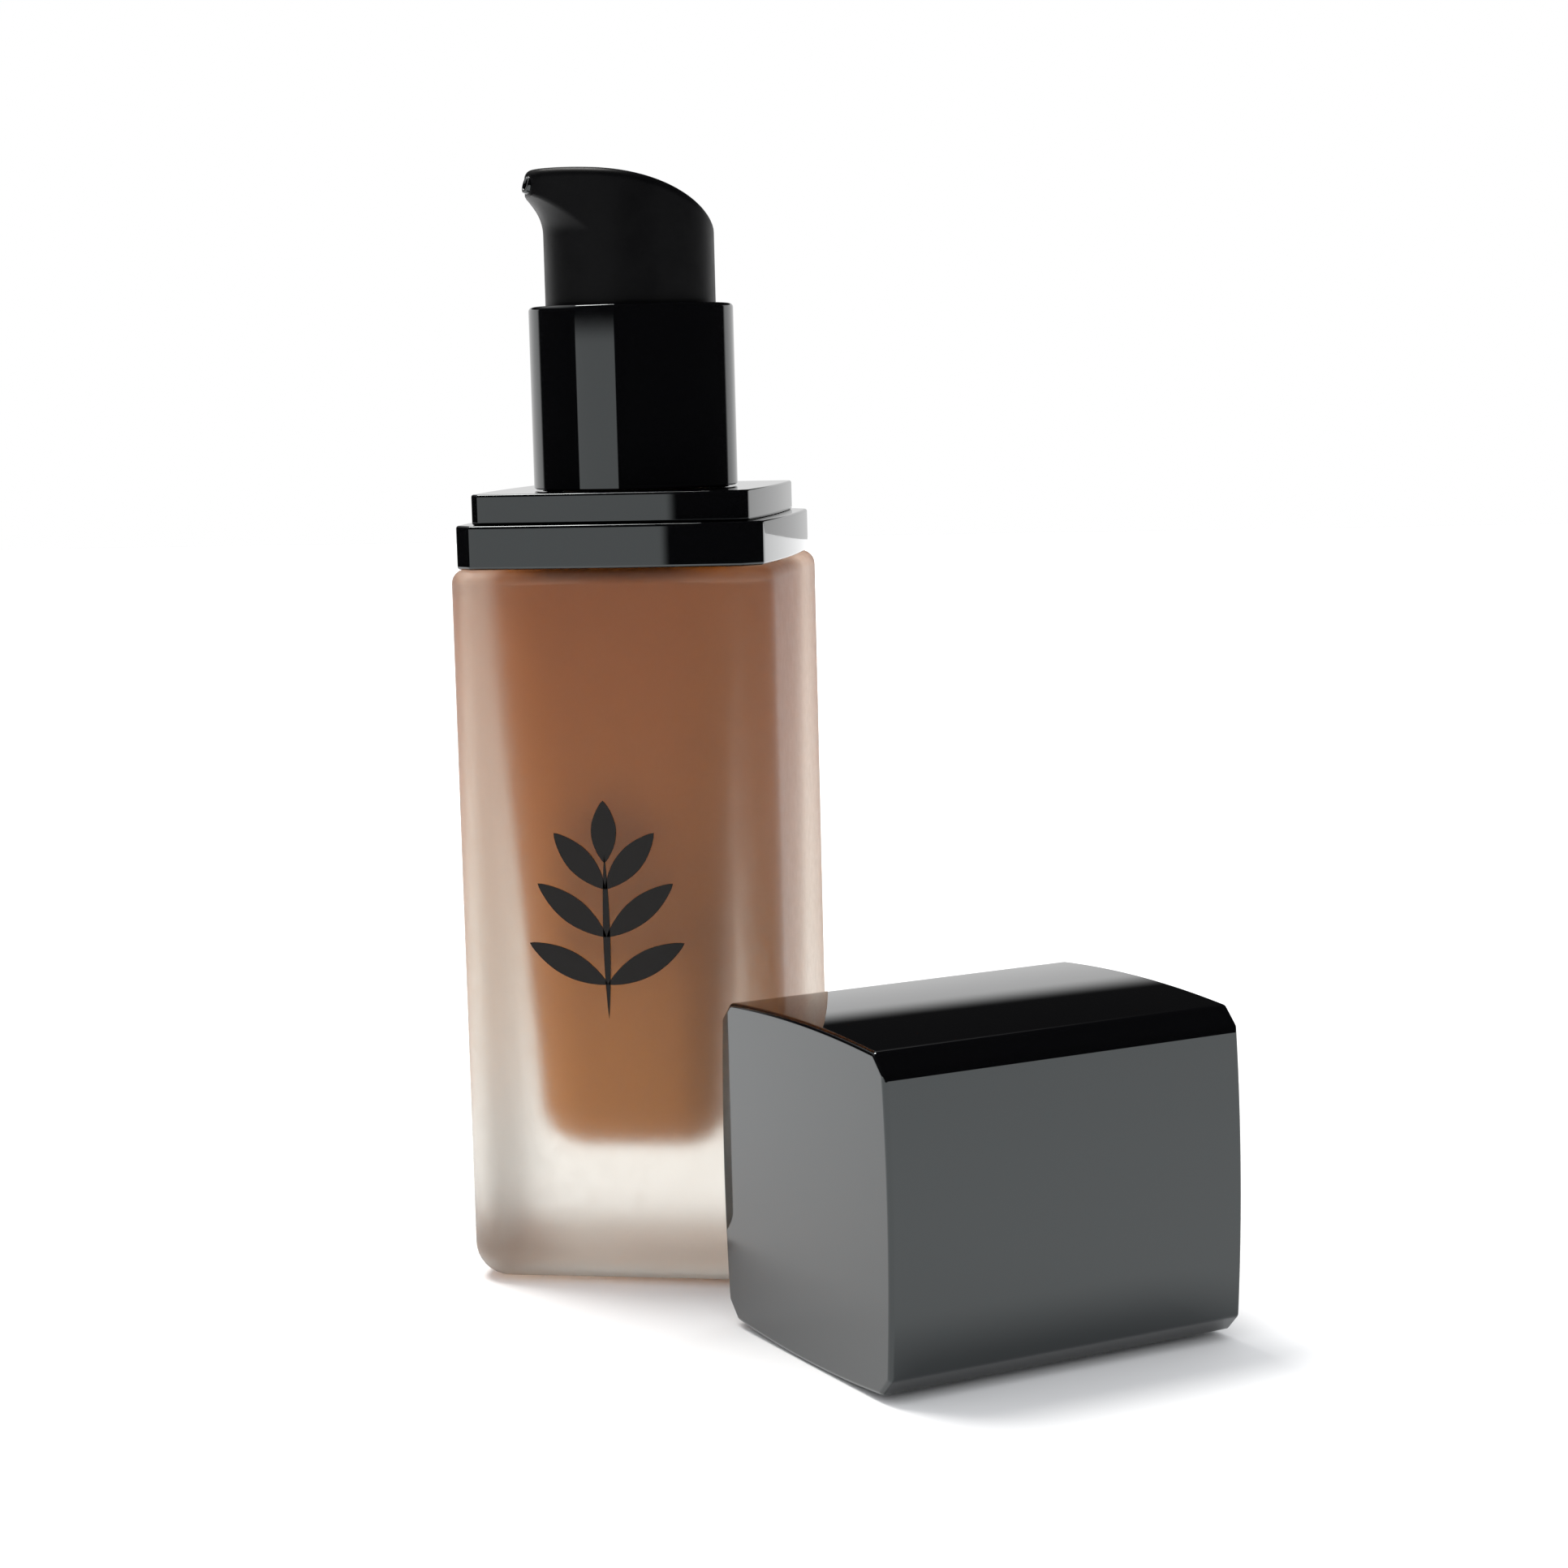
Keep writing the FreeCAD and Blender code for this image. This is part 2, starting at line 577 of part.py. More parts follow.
def make_actuator_head():
    """Finger head: a round skirt, a falling convex top, and a spout with a hollow under-curve."""
    body = new_body("actuator_head")
    touch = ("(atan(dims.spout_half / dims.spout_reach)"
             " + acos(dims.head_radius / sqrt(dims.spout_reach ^ 2 + dims.spout_half ^ 2)))")
    across, along = f"dims.head_radius * sin{touch}", f"dims.head_radius * cos{touch}"
    outer, above = "(dims.spout_reach + 3)", "dims.head_top + 3"
    rise = "(dims.spout_lip - dims.spout_start)"
    turned(body, "Revolution", "flared_column", [
        ("0", "dims.head_base"), ("dims.head_radius", "dims.head_base"),
        ("dims.head_radius", "dims.spout_start"), ("dims.head_radius + dims.spout_flare", "dims.spout_lip"),
        (outer, "dims.spout_lip"), (outer, above), ("0", above),
    ], {2: (f"({rise} ^ 2 + dims.spout_flare ^ 2) / (2 * dims.spout_flare)", -0.6)})
    plan = outline(body, "plan", "XY_Plane", [
        ("dims.spout_reach", "-dims.spout_half"), ("dims.spout_reach", "dims.spout_half"),
        (along, across), (along, f"-{across}"),
    ], {2: ("dims.head_radius", 14.0)}, "dims.spout_start")
    rim = plan.addGeometry(Part.Circle(FreeCAD.Vector(), FreeCAD.Vector(0, 0, 1), 20), False)
    plan.addConstraint(Sketcher.Constraint("Coincident", rim, 3, -1, 1))
    bind(plan, Sketcher.Constraint("Radius", rim, 20), f"{outer} + 1")
    sides = pocket_up(body, "spout_sides", plan, "dims.head_top - dims.spout_start + 4")
    tip = sheet.get("spout_reach")
    fillet(body, "spout_corners", sides,
           lambda box: box.XMin > tip - 0.01 and box.ZLength > 1, "dims.spout_corner")
    back = "(dims.head_radius + 2)"
    side = outline(body, "top_curve", "XZ_Plane", [
        (outer, crown_level(f"{outer} - dims.crown_peak")), (outer, above), (f"-{back}", above),
        (f"-{back}", crown_level(f"{back} + dims.crown_peak")),
    ], {3: ("dims.crown_radius", -4.8)})
    top = feature(body, "Pocket", "top", Profile=side, Length="dims.head_radius * 4", Midplane=True)
    above_lip = sheet.get("spout_lip") + 2
    fillet(body, "top_round", top,
           lambda box: box.ZMax > above_lip and box.XLength + box.YLength > 0.1, "dims.head_edge")
    hollow = round_sketch(body, "hollow_outline", "XY_Plane", "dims.head_radius - dims.head_wall",
                          level="dims.head_base")
    pocket_up(body, "hollow", hollow, "dims.head_roof - dims.head_base")
    recess = round_sketch(body, "recess_outline", "XY_Plane", "dims.core_neck + dims.core_gap",
                          level="dims.head_roof - 0.5")
    pocket_up(body, "recess", recess, "dims.core_top - dims.head_roof + 0.5 + dims.core_gap")
    sloping_cylinder(body, "SubtractiveCylinder", "duct_way", "dims.duct_radius + dims.core_gap",
                     "0", "dims.duct_length + dims.core_gap")
    sloping_cylinder(body, "SubtractiveCylinder", "nozzle_way", "dims.insert_radius + dims.core_gap",
                     "dims.duct_length", "dims.spout_reach + 3")
    turn_to_nozzle(body)
    return body


def make_actuator_core():
    """Inner part of the head: a socket that turns on the stem, and a duct up to the nozzle."""
    body = new_body("actuator_core")
    turned(body, "Revolution", "socket", [
        ("dims.socket_radius", "dims.core_base"), ("dims.core_radius", "dims.core_base"),
        ("dims.core_radius", "dims.head_roof - dims.core_gap"),
        ("dims.core_neck", "dims.head_roof - dims.core_gap"), ("dims.core_neck", "dims.core_top"),
        ("0", "dims.core_top"), ("0", "dims.duct_level + dims.duct_bore"),
        ("dims.stem_bore", "dims.duct_level + dims.duct_bore"), ("dims.stem_bore", "dims.socket_top"),
        ("dims.socket_radius", "dims.socket_top"),
    ])
    sloping_cylinder(body, "AdditiveCylinder", "duct", "dims.duct_radius", "dims.core_neck / 2",
                     "dims.duct_length")
    sloping_cylinder(body, "SubtractiveCylinder", "duct_bore", "dims.duct_bore", "0", "dims.duct_length + 1")
    turn_to_nozzle(body)
    return body


def make_nozzle_insert():
    """Small tube in the spout's tip that forms the outlet."""
    body = new_body("nozzle_insert")
    sloping_cylinder(body, "AdditiveCylinder", "tube", "dims.insert_radius",
                     "(dims.duct_length + dims.core_gap)", "dims.insert_end")
    sloping_cylinder(body, "SubtractiveCylinder", "outlet", "dims.insert_bore",
                     "(dims.duct_length - 1)", "dims.insert_end + 1")
    turn_to_nozzle(body)
    return body


# ---- overcap: modelled along +X from its closed end, then laid on one side ----

def lay_down(body):
    """Set a cup that was drawn along +X on the table, turned about the upright."""
    body.setExpression(".Placement.Base.x", "dims.cap_x")
    body.setExpression(".Placement.Base.y", "dims.cap_y")
    body.setExpression(".Placement.Base.z", "dims.plate_half")
    body.setExpression(".Placement.Rotation.Angle", "dims.cap_yaw")


def make_overcap_shell():
    """Outer gloss shell of the overcap, closed at one end."""
    body = new_body("overcap_shell")
    outside = crowned_square(body, "block_outline", "YZ_Plane", "dims.plate_half", "dims.plate_crown",
                             "dims.plate_chamfer", "0")
    block = pad(body, "block", outside, "dims.cap_length")
    sides = fillet(body, "side_rounds", block, lambda box: box.XLength > 1, "dims.plate_edge")
    closed = fillet(body, "closed_end_round", sides, lies_at(0.0, "X"), "dims.cap_edge")
    fillet(body, "mouth_round", closed, lies_at("cap_length", "X"), "dims.cap_edge / 2")
    inside = crowned_square(body, "hollow_outline", "YZ_Plane", "dims.liner_half", "dims.liner_crown",
                            "dims.liner_chamfer", "dims.cap_wall")
    pocket_up(body, "hollow", inside, "dims.cap_length")
    lay_down(body)
    return body


def make_overcap_liner():
    """Thin inner cup that grips the cap seat."""
    body = new_body("overcap_liner")
    outside = crowned_square(body, "block_outline", "YZ_Plane", "dims.liner_half", "dims.liner_crown",
                             "dims.liner_chamfer", "dims.cap_wall")
    pad(body, "block", outside, "dims.cap_length - dims.liner_recess - dims.cap_wall")
    inside = crowned_square(body, "hollow_outline", "YZ_Plane", "(dims.liner_half - dims.liner_wall)",
                            "dims.liner_crown", "dims.liner_inner_chamfer",
                            "dims.cap_wall + dims.liner_wall")
    pocket_up(body, "hollow", inside, "dims.cap_length")
    lay_down(body)
    return body


bodies = [
    make_bottle_glass(),
    make_foundation_fill(),
    make_square_plate("shoulder_plate", "dims.plate_half", "dims.plate_crown", "dims.plate_chamfer",
                      "dims.glass_height", "dims.plate_top"),
    make_square_plate("cap_seat", "dims.seat_half", "dims.seat_crown", "dims.seat_chamfer",
                      "dims.plate_top", "dims.seat_top"),
    make_screw_closure(),
    make_collar_sleeve(),
    make_neck_gasket(),
    make_pump_housing(),
    make_lock_ring(),
    make_dip_tube(),
    make_return_spring(),
    make_check_ball(),
    make_piston_stem(),
    make_stem_plug(),
    make_main_piston(),
    make_actuator_head(),
    make_actuator_core(),
    make_nozzle_insert(),
    make_overcap_shell(),
    make_overcap_liner(),
]
doc.recompute()

for entry in doc.Objects:
    if "Invalid" in entry.State or "Error" in entry.State:
        raise RuntimeError(f"{entry.Name} failed: {entry.State}")
for body in bodies:
    if body.Shape.isNull() or not body.Shape.isValid() or len(body.Shape.Solids) != 1:
        raise RuntimeError(f"{body.Label} has no sound solid")
    print(f"{body.Label:16} {body.Shape.Volume:10.1f} mm3")

os.makedirs("parts", exist_ok=True)
for body in bodies:
    body.Shape.exportStep(f"parts/{body.Label}.step")
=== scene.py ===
import math

import bpy
import mathutils
import numpy as np
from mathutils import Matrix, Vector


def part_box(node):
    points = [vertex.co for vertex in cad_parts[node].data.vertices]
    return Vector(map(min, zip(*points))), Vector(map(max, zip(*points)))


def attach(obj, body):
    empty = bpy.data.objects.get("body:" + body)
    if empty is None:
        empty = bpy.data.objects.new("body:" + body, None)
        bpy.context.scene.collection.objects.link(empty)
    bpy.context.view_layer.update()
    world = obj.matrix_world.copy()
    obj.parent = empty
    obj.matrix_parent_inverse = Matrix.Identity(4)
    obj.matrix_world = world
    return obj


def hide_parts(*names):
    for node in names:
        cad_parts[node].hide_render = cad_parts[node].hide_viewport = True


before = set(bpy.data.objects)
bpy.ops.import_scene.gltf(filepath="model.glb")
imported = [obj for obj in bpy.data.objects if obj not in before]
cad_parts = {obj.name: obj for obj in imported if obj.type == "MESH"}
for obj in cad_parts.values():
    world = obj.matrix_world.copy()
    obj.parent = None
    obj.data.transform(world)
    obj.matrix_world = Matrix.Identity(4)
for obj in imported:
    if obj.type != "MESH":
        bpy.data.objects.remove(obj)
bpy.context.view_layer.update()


# ---- Bottle glass ----
# Heavy moulded glass, square outside with round corners and a tapered square cavity inside.
# The outside is acid-frosted after moulding, which leaves a fine satin skin.

MM = 0.001
HAIR = 0.03 * MM
GLASS_HALF, _, NECK_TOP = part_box("bottle_glass")[1]
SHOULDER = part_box("shoulder_plate")[0][2]
CORNER = 4.2 * MM
FOOT_ROUND = 3.6 * MM
SHOULDER_ROUND = 1.5 * MM
NECK_RADIUS = 8.0 * MM
NECK_BORE = 5.8 * MM
FILM = 0.05 * MM
CAVITY_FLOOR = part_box("foundation_fill")[0][2] - FILM
CAVITY_ROOF = SHOULDER - SHOULDER_ROUND
CAVITY_FLOOR_HALF = 10.0 * MM
CAVITY_ROOF_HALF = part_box("foundation_fill")[1][0] + FILM
CAVITY_CORNER = 5.0 * MM
LEAST_CORNER = 0.6 * MM
FLOOR_ROUND = 4.5 * MM


def quarter_turns(count):
    """Matrix that turns flat points by so many right angles: columns (cos a, sin a), (-sin a, cos a)."""
    turn = count * math.pi / 2
    return np.array([[math.cos(turn), math.sin(turn)], [-math.sin(turn), math.cos(turn)]])


def rounded_loop(half, corner, per_side=14, per_corner=12):
    """Square of a half width with round corners, as points and outward normals.

    Each quarter is a straight side followed by an arc: centre of the corner plus the
    corner's radius times (cos a, sin a). A corner as wide as the half makes a circle.
    """
    flat = np.linspace(-1, 1, per_side, endpoint=False) * (half - corner)
    side = np.stack([np.full(per_side, half), flat], axis=1)
    angle = np.linspace(0, math.pi / 2, per_corner, endpoint=False)
    arc = np.stack([np.cos(angle), np.sin(angle)], axis=1)
    quarter = np.concatenate([side, (half - corner) + corner * arc])
    quarter_out = np.concatenate([np.tile([1.0, 0.0], (per_side, 1)), arc])
    spins = [quarter_turns(turn) for turn in range(4)]
    return np.concatenate([quarter @ spin for spin in spins]), np.concatenate(
        [quarter_out @ spin for spin in spins])


def level_loop(flat_points, level):
    """Lift a flat loop of points to one level."""
    return np.column_stack([flat_points, np.full(len(flat_points), level)])


def quarter_round(loop, normals, level, radius, start, end, steps=7):
    """Roll a loop round an edge: inset by r (1 - cos a), lifted by r sin a, from a = start to end.

    One more loop a hair before and after, on the flats, keeps the flats' shading flat.
    """
    rings = []
    for angle in np.linspace(math.radians(start), math.radians(end), steps):
        shift = radius * (1 - math.cos(angle))
        rings.append(level_loop(loop - normals * shift, level + radius * math.sin(angle)))
    flat = loop - normals * (radius + HAIR)
    if start < 0:
        return [level_loop(flat, level - radius)] + rings + [level_loop(loop, level + HAIR)]
    return [level_loop(loop, level - HAIR)] + rings + [level_loop(flat, level + radius)]


def skin(name, rings, closed=True):
    """Join rings of equal count into one closed mesh: quads between rings, a fan at each end."""
    rings = np.array(rings)
    rows, count = rings.shape[:2]
    index = np.arange(rows * count).reshape(rows, count)
    nxt = np.roll(index, -1, axis=1)
    quads = np.stack([index[:-1], nxt[:-1], nxt[1:], index[1:]], axis=-1).reshape(-1, 4)
    vertices = rings.reshape(-1, 3)
    faces = quads.tolist()
    if closed:
        ends = np.array([rings[0].mean(axis=0), rings[-1].mean(axis=0)])
        first, last = rows * count, rows * count + 1
        vertices = np.concatenate([vertices, ends])
        faces += np.stack([nxt[0], index[0], np.full(count, first)], axis=-1).tolist()
        faces += np.stack([index[-1], nxt[-1], np.full(count, last)], axis=-1).tolist()
    mesh = bpy.data.meshes.new(name)
    mesh.from_pydata(vertices.tolist(), [], faces)
    mesh.validate()
    mesh.polygons.foreach_set("use_smooth", np.ones(len(mesh.polygons), dtype=bool))
    piece = bpy.data.objects.new(name, mesh)
    bpy.context.scene.collection.objects.link(piece)
    return piece


def crisp(piece, angle=35):
    """Keep edges sharper than an angle crisp while the curves stay smooth."""
    bpy.context.view_layer.objects.active = piece
    piece.select_set(True)
    bpy.ops.object.shade_smooth_by_angle(angle=math.radians(angle))
    piece.select_set(False)


def cavity_rings(grow, top, steps=24):
    """The cavity's wall from its floor's centre to a level: half width grows evenly with height."""
    slope = (CAVITY_ROOF_HALF - CAVITY_FLOOR_HALF) / (CAVITY_ROOF - CAVITY_FLOOR)
    rings = []
    for angle in np.linspace(0, math.pi / 2, 10):
        inset = FLOOR_ROUND * (1 - math.sin(angle))
        rise = FLOOR_ROUND * (1 - math.cos(angle))
        half = CAVITY_FLOOR_HALF + grow - inset + slope * rise
        loop, _ = rounded_loop(half, max(CAVITY_CORNER + grow - inset, LEAST_CORNER))
        rings.append(level_loop(loop, CAVITY_FLOOR - grow + rise))
    for level in np.linspace(CAVITY_FLOOR + FLOOR_ROUND, top, steps)[1:]:
        rise = level - CAVITY_FLOOR
        loop, _ = rounded_loop(CAVITY_FLOOR_HALF + grow + slope * rise, CAVITY_CORNER + grow + slope * rise)
        rings.append(level_loop(loop, level))
    return rings


outside, out_from_it = rounded_loop(GLASS_HALF, CORNER)
glass_rings = quarter_round(outside, out_from_it, FOOT_ROUND, FOOT_ROUND, -90, 0, 10)
glass_rings += quarter_round(outside, out_from_it, SHOULDER - SHOULDER_ROUND, SHOULDER_ROUND, 0, 90)
for radius, level in ((NECK_RADIUS, SHOULDER), (NECK_RADIUS, NECK_TOP), (NECK_BORE, NECK_TOP),
                      (NECK_BORE, CAVITY_ROOF)):
    glass_rings.append(level_loop(rounded_loop(radius, radius)[0], level))
glass_rings += cavity_rings(0, CAVITY_ROOF)[::-1]
bottle = skin("frosted_bottle", glass_rings)
crisp(bottle)


def new_material(name):
    """Start a material: its node tree, its surface shader, and a place to add nodes."""
    material = bpy.data.materials.new(name)
    material.use_nodes = True
    nodes = material.node_tree.nodes
    return material, nodes, material.node_tree.links, nodes["Principled BSDF"]


def grain(nodes, links, scale, detail=3.0, rough=0.6):
    """Noise at so many bumps a metre on the piece's own coordinates."""
    place = nodes.new("ShaderNodeTexCoord")
    noise = nodes.new("ShaderNodeTexNoise")
    noise.inputs["Scale"].default_value = scale
    noise.inputs["Detail"].default_value = detail
    noise.inputs["Roughness"].default_value = rough
    links.new(place.outputs["Object"], noise.inputs["Vector"])
    return noise


def spread(nodes, links, source, low, high, from_low=0.3, from_high=0.7):
    """Rescale a noise to run between two values."""
    ramp = nodes.new("ShaderNodeMapRange")
    ends = {"From Min": from_low, "From Max": from_high, "To Min": low, "To Max": high}
    for key, number in ends.items():
        ramp.inputs[key].default_value = number
    links.new(source, ramp.inputs["Value"])
    return ramp.outputs["Result"]


def emboss(nodes, links, shader, source, strength, depth):
    """Drive the surface's normal with a height, as deep as depth in metres."""
    bump = nodes.new("ShaderNodeBump")
    bump.inputs["Strength"].default_value = strength
    bump.inputs["Distance"].default_value = depth
    links.new(source, bump.inputs["Height"])
    links.new(bump.outputs["Normal"], shader.inputs["Normal"])


def share_of_height(nodes, links, low, high, top=1.0):
    """How far up the piece a point is, from 0 at the low level to top at the high one."""
    place = nodes.new("ShaderNodeTexCoord")
    split = nodes.new("ShaderNodeSeparateXYZ")
    links.new(place.outputs["Object"], split.inputs[0])
    return spread(nodes, links, split.outputs["Z"], 0.0, top, low, high)


def frosted_glass():
    """Clear glass with an etched outside: rough transmission, with a fine uneven grain.

    The glass picks up the liquid's warmth, more so towards the shoulder, where the wall is thin.
    """
    material, nodes, links, shader = new_material("acid_frosted_glass")
    shader.inputs["Transmission Weight"].default_value = 1.0
    shader.inputs["IOR"].default_value = 1.5
    height = share_of_height(nodes, links, 0.0, SHOULDER)
    tint = nodes.new("ShaderNodeValToRGB")
    tint.color_ramp.elements[0].position = 0.12
    tint.color_ramp.elements[0].color = (0.72, 0.70, 0.65, 1)
    tint.color_ramp.elements[1].color = (0.74, 0.58, 0.47, 1)
    tint.color_ramp.elements.new(0.45).color = (0.67, 0.61, 0.53, 1)
    links.new(height, tint.inputs["Fac"])
    links.new(tint.outputs["Color"], shader.inputs["Base Color"])
    cloud = grain(nodes, links, 900)
    links.new(spread(nodes, links, cloud.outputs["Fac"], 0.43, 0.55), shader.inputs["Roughness"])
    etch = grain(nodes, links, 9000, 2.0)
    emboss(nodes, links, shader, etch.outputs["Fac"], 0.15, 0.00002)
    return material


bottle.data.materials.append(frosted_glass())
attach(bottle, "bottle")
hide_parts("bottle_glass")


# ---- Foundation ----
# The liquid cosmetic, opaque and the colour of warm brown skin. It wets the glass, so it is
# drawn a hair larger than the cavity: no film of air shows between the two.

WETTING = 0.04 * MM
fill = skin("liquid_foundation", cavity_rings(WETTING, CAVITY_ROOF + WETTING))
crisp(fill)


def two_tones(nodes, links, shader, source, low, high):
    """Colour the surface from one tone to another as the source goes from 0 to 1."""
    tone = nodes.new("ShaderNodeValToRGB")
    tone.color_ramp.elements[0].color = (*low, 1)
    tone.color_ramp.elements[1].color = (*high, 1)
    links.new(source, tone.inputs["Fac"])
    links.new(tone.outputs["Color"], shader.inputs["Base Color"])


def foundation_liquid():
    """Opaque pigmented emulsion with faint marbling and a soft wet surface; painted shade makes it darker
    towards the shoulder and lighter low down.
    """
    material, nodes, links, shader = new_material("brown_foundation_liquid")
    swirl = grain(nodes, links, 60, 2.0)
    # Painted shade: the height share darkens the liquid from low down towards the shoulder, and the noise
    # adds faint marbling.
    height = share_of_height(nodes, links, CAVITY_FLOOR, CAVITY_ROOF, top=0.9)
    marbling_and_painted_shade = nodes.new("ShaderNodeMath")
    marbling_and_painted_shade.operation = "MULTIPLY_ADD"
    marbling_and_painted_shade.inputs[1].default_value = 0.2
    links.new(swirl.outputs["Fac"], marbling_and_painted_shade.inputs[0])
    links.new(height, marbling_and_painted_shade.inputs[2])
    two_tones(nodes, links, shader, marbling_and_painted_shade.outputs[0], (1.0, 0.41, 0.078), (0.56, 0.190, 0.012))
    shader.inputs["Specular IOR Level"].default_value = 0.15
    film = grain(nodes, links, 400)
    links.new(spread(nodes, links, film.outputs["Fac"], 0.35, 0.5), shader.inputs["Roughness"])
    return material


fill.data.materials.append(foundation_liquid())
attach(fill, "bottle")
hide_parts("foundation_fill")


# ---- Shoulder plate ----
# Square moulding in gloss black lacquer, flush with the bottle, snapped over the foot of the
# neck. Its sides bow out a little and its corners are chamfered.

PLATE_BORE = 8.65 * MM
PLATE_SOFTENING = 0.42 * MM


def eased_corner(corner, start, end, radius, steps):
    """Arc of a radius that touches both sides of a corner whose normals lean from start to end."""
    half_turn = (end - start) / 2
    middle = (start + end) / 2
    centre = corner - (radius / math.cos(half_turn)) * np.array([math.cos(middle), math.sin(middle)])
    angle = np.linspace(start, end, steps)
    out = np.stack([np.cos(angle), np.sin(angle)], axis=1)
    return centre + radius * out, out


def crowned_loop(half, crown, chamfer, soften, along_side=40, along_chamfer=6, along_soft=5):
    """Square with bowed sides and chamfered corners, as points and outward normals.

    A side is an arc that stands out by crown at its middle. A chamfer joins two sides, and
    a short arc of radius soften eases each meeting. The quarter is turned four times.
    """
    edge = half - crown
    reach = edge - chamfer
    bow = (reach ** 2 + crown ** 2) / (2 * crown)
    lean = math.asin(reach / bow)
    angle = np.linspace(-lean, lean, along_side)
    side = np.stack([half - bow + bow * np.cos(angle), bow * np.sin(angle)], axis=1)
    side_out = np.stack([np.cos(angle), np.sin(angle)], axis=1)
    diagonal = math.pi / 4
    corner_out = np.array([math.cos(diagonal), math.sin(diagonal)])
    first = eased_corner(side[-1], lean, diagonal, soften, along_soft)
    second = eased_corner(np.array([reach, edge]), diagonal, math.pi / 2 - lean, soften, along_soft)
    middle = np.linspace(first[0][-1], second[0][0], along_chamfer + 2)[1:-1]
    keep = np.abs(side[:, 1]) < first[0][0][1] - soften * 0.05
    quarter = np.concatenate([side[keep], first[0], middle, second[0][:-1]])
    quarter_out = np.concatenate([side_out[keep], first[1], np.tile(corner_out, (along_chamfer, 1)),
                                  second[1][:-1]])
    spins = [quarter_turns(turn) for turn in range(4)]
    return np.concatenate([quarter @ spin for spin in spins]), np.concatenate(
        [quarter_out @ spin for spin in spins])


def plate_rings(loop, out, base, top, edge, bore):
    """A plate with eased edges and a round hole: up the outside, over, and down the hole."""
    rings = quarter_round(loop, out, base + edge, edge, -90, 0, 5)
    rings += quarter_round(loop, out, top - edge, edge, 0, 90, 5)
    angle = np.arctan2(loop[:, 1], loop[:, 0])
    circle = bore * np.stack([np.cos(angle), np.sin(angle)], axis=1)
    rings += [level_loop(circle, top), level_loop(circle, base)]
    rings.append(rings[0])
    return rings


def gloss_black():
    """Black lacquer polished like piano black, with hair-fine wiping marks and a little dust haze."""
    material, nodes, links, shader = new_material("piano_black_lacquer")
    shade = grain(nodes, links, 45, 2.0)
    two_tones(nodes, links, shader, shade.outputs["Fac"], (0.0012, 0.0012, 0.0015),
              (0.00162, 0.00162, 0.002025))
    shader.inputs["IOR"].default_value = 1.5
    shader.inputs["Specular Tint"].default_value = (0.86, 0.98, 1.0, 1)
    shader.inputs["Coat Weight"].default_value = 0.5
    shader.inputs["Coat Roughness"].default_value = 0.015
    dust = grain(nodes, links, 700)
    links.new(spread(nodes, links, dust.outputs["Fac"], 0.0108, 0.0288), shader.inputs["Roughness"])
    ripple = grain(nodes, links, 90, 1.0)
    emboss(nodes, links, shader, ripple.outputs["Fac"], 0.05, 0.00008)
    return material


lacquer = gloss_black()


def square_plate(name, node, crown, chamfer, edge):
    """Make one plate in the place of its CAD node."""
    low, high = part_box(node)
    loop, out = crowned_loop(high[0], crown, chamfer, PLATE_SOFTENING)
    plate = skin(name, plate_rings(loop, out, low[2], high[2], edge, PLATE_BORE), closed=False)
    crisp(plate)
    plate.data.materials.append(lacquer)
    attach(plate, "bottle")
    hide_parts(node)


square_plate("shoulder_plate_gloss", "shoulder_plate", crown=0.6 * MM, chamfer=1.8 * MM, edge=0.3 * MM)


# ---- Cap seat ----
# Second square moulding in the same lacquer, stacked on the first and a step smaller, so that
# the overcap slides down over it and grips.

square_plate("cap_seat_gloss", "cap_seat", crown=0.5 * MM, chamfer=0.8 * MM, edge=0.25 * MM)


# ---- Screw closure ----
# Threaded cup that screws onto the neck and clamps the pump's flange. The sleeve hides it, so
# it keeps its designed shape and takes the plain finish of a black moulding.

def finish_node(node, material):
    """Give a designed part its finish."""
    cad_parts[node].data.materials.clear()
    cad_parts[node].data.materials.append(material)


def matt_black_liner():
    """Unpolished hidden moulding: dark grey, with a broad soft sheen and faint flow marks."""
    material, nodes, links, shader = new_material("matt_black_liner")
    flow = grain(nodes, links, 120, 4.0)
    two_tones(nodes, links, shader, flow.outputs["Fac"], (0.016, 0.016, 0.017), (0.028, 0.028, 0.030))
    links.new(spread(nodes, links, flow.outputs["Fac"], 0.45, 0.6), shader.inputs["Roughness"])
    fine = grain(nodes, links, 4000)
    emboss(nodes, links, shader, fine.outputs["Fac"], 0.2, 0.00002)
    return material


hidden_black = matt_black_liner()
finish_node("screw_closure", hidden_black)


# ---- Collar sleeve ----
# Gloss black tube in the same lacquer, pressed over the threaded closure, so the two turn as
# one. Its mouth turns in round the head.

def turned_rings(profile, count=192):
    """Turn (radius, level) points about the bottle's axis."""
    angle = np.linspace(0, 2 * math.pi, count, endpoint=False)
    circle = np.stack([np.cos(angle), np.sin(angle)], axis=1)
    return [level_loop(circle * radius, level) for radius, level in profile]


def rounded_rim(radius, top, edge, inwards, steps=8):
    """Points of a rolled rim: a quarter circle from the outside wall to the top, or back down."""
    angle = np.linspace(0, math.pi / 2, steps)
    across = radius + (-1 if inwards else 1) * edge * (1 - np.cos(angle))
    up = top - edge + edge * np.sin(angle)
    points = list(zip(across, up))
    return points if inwards else points[::-1]


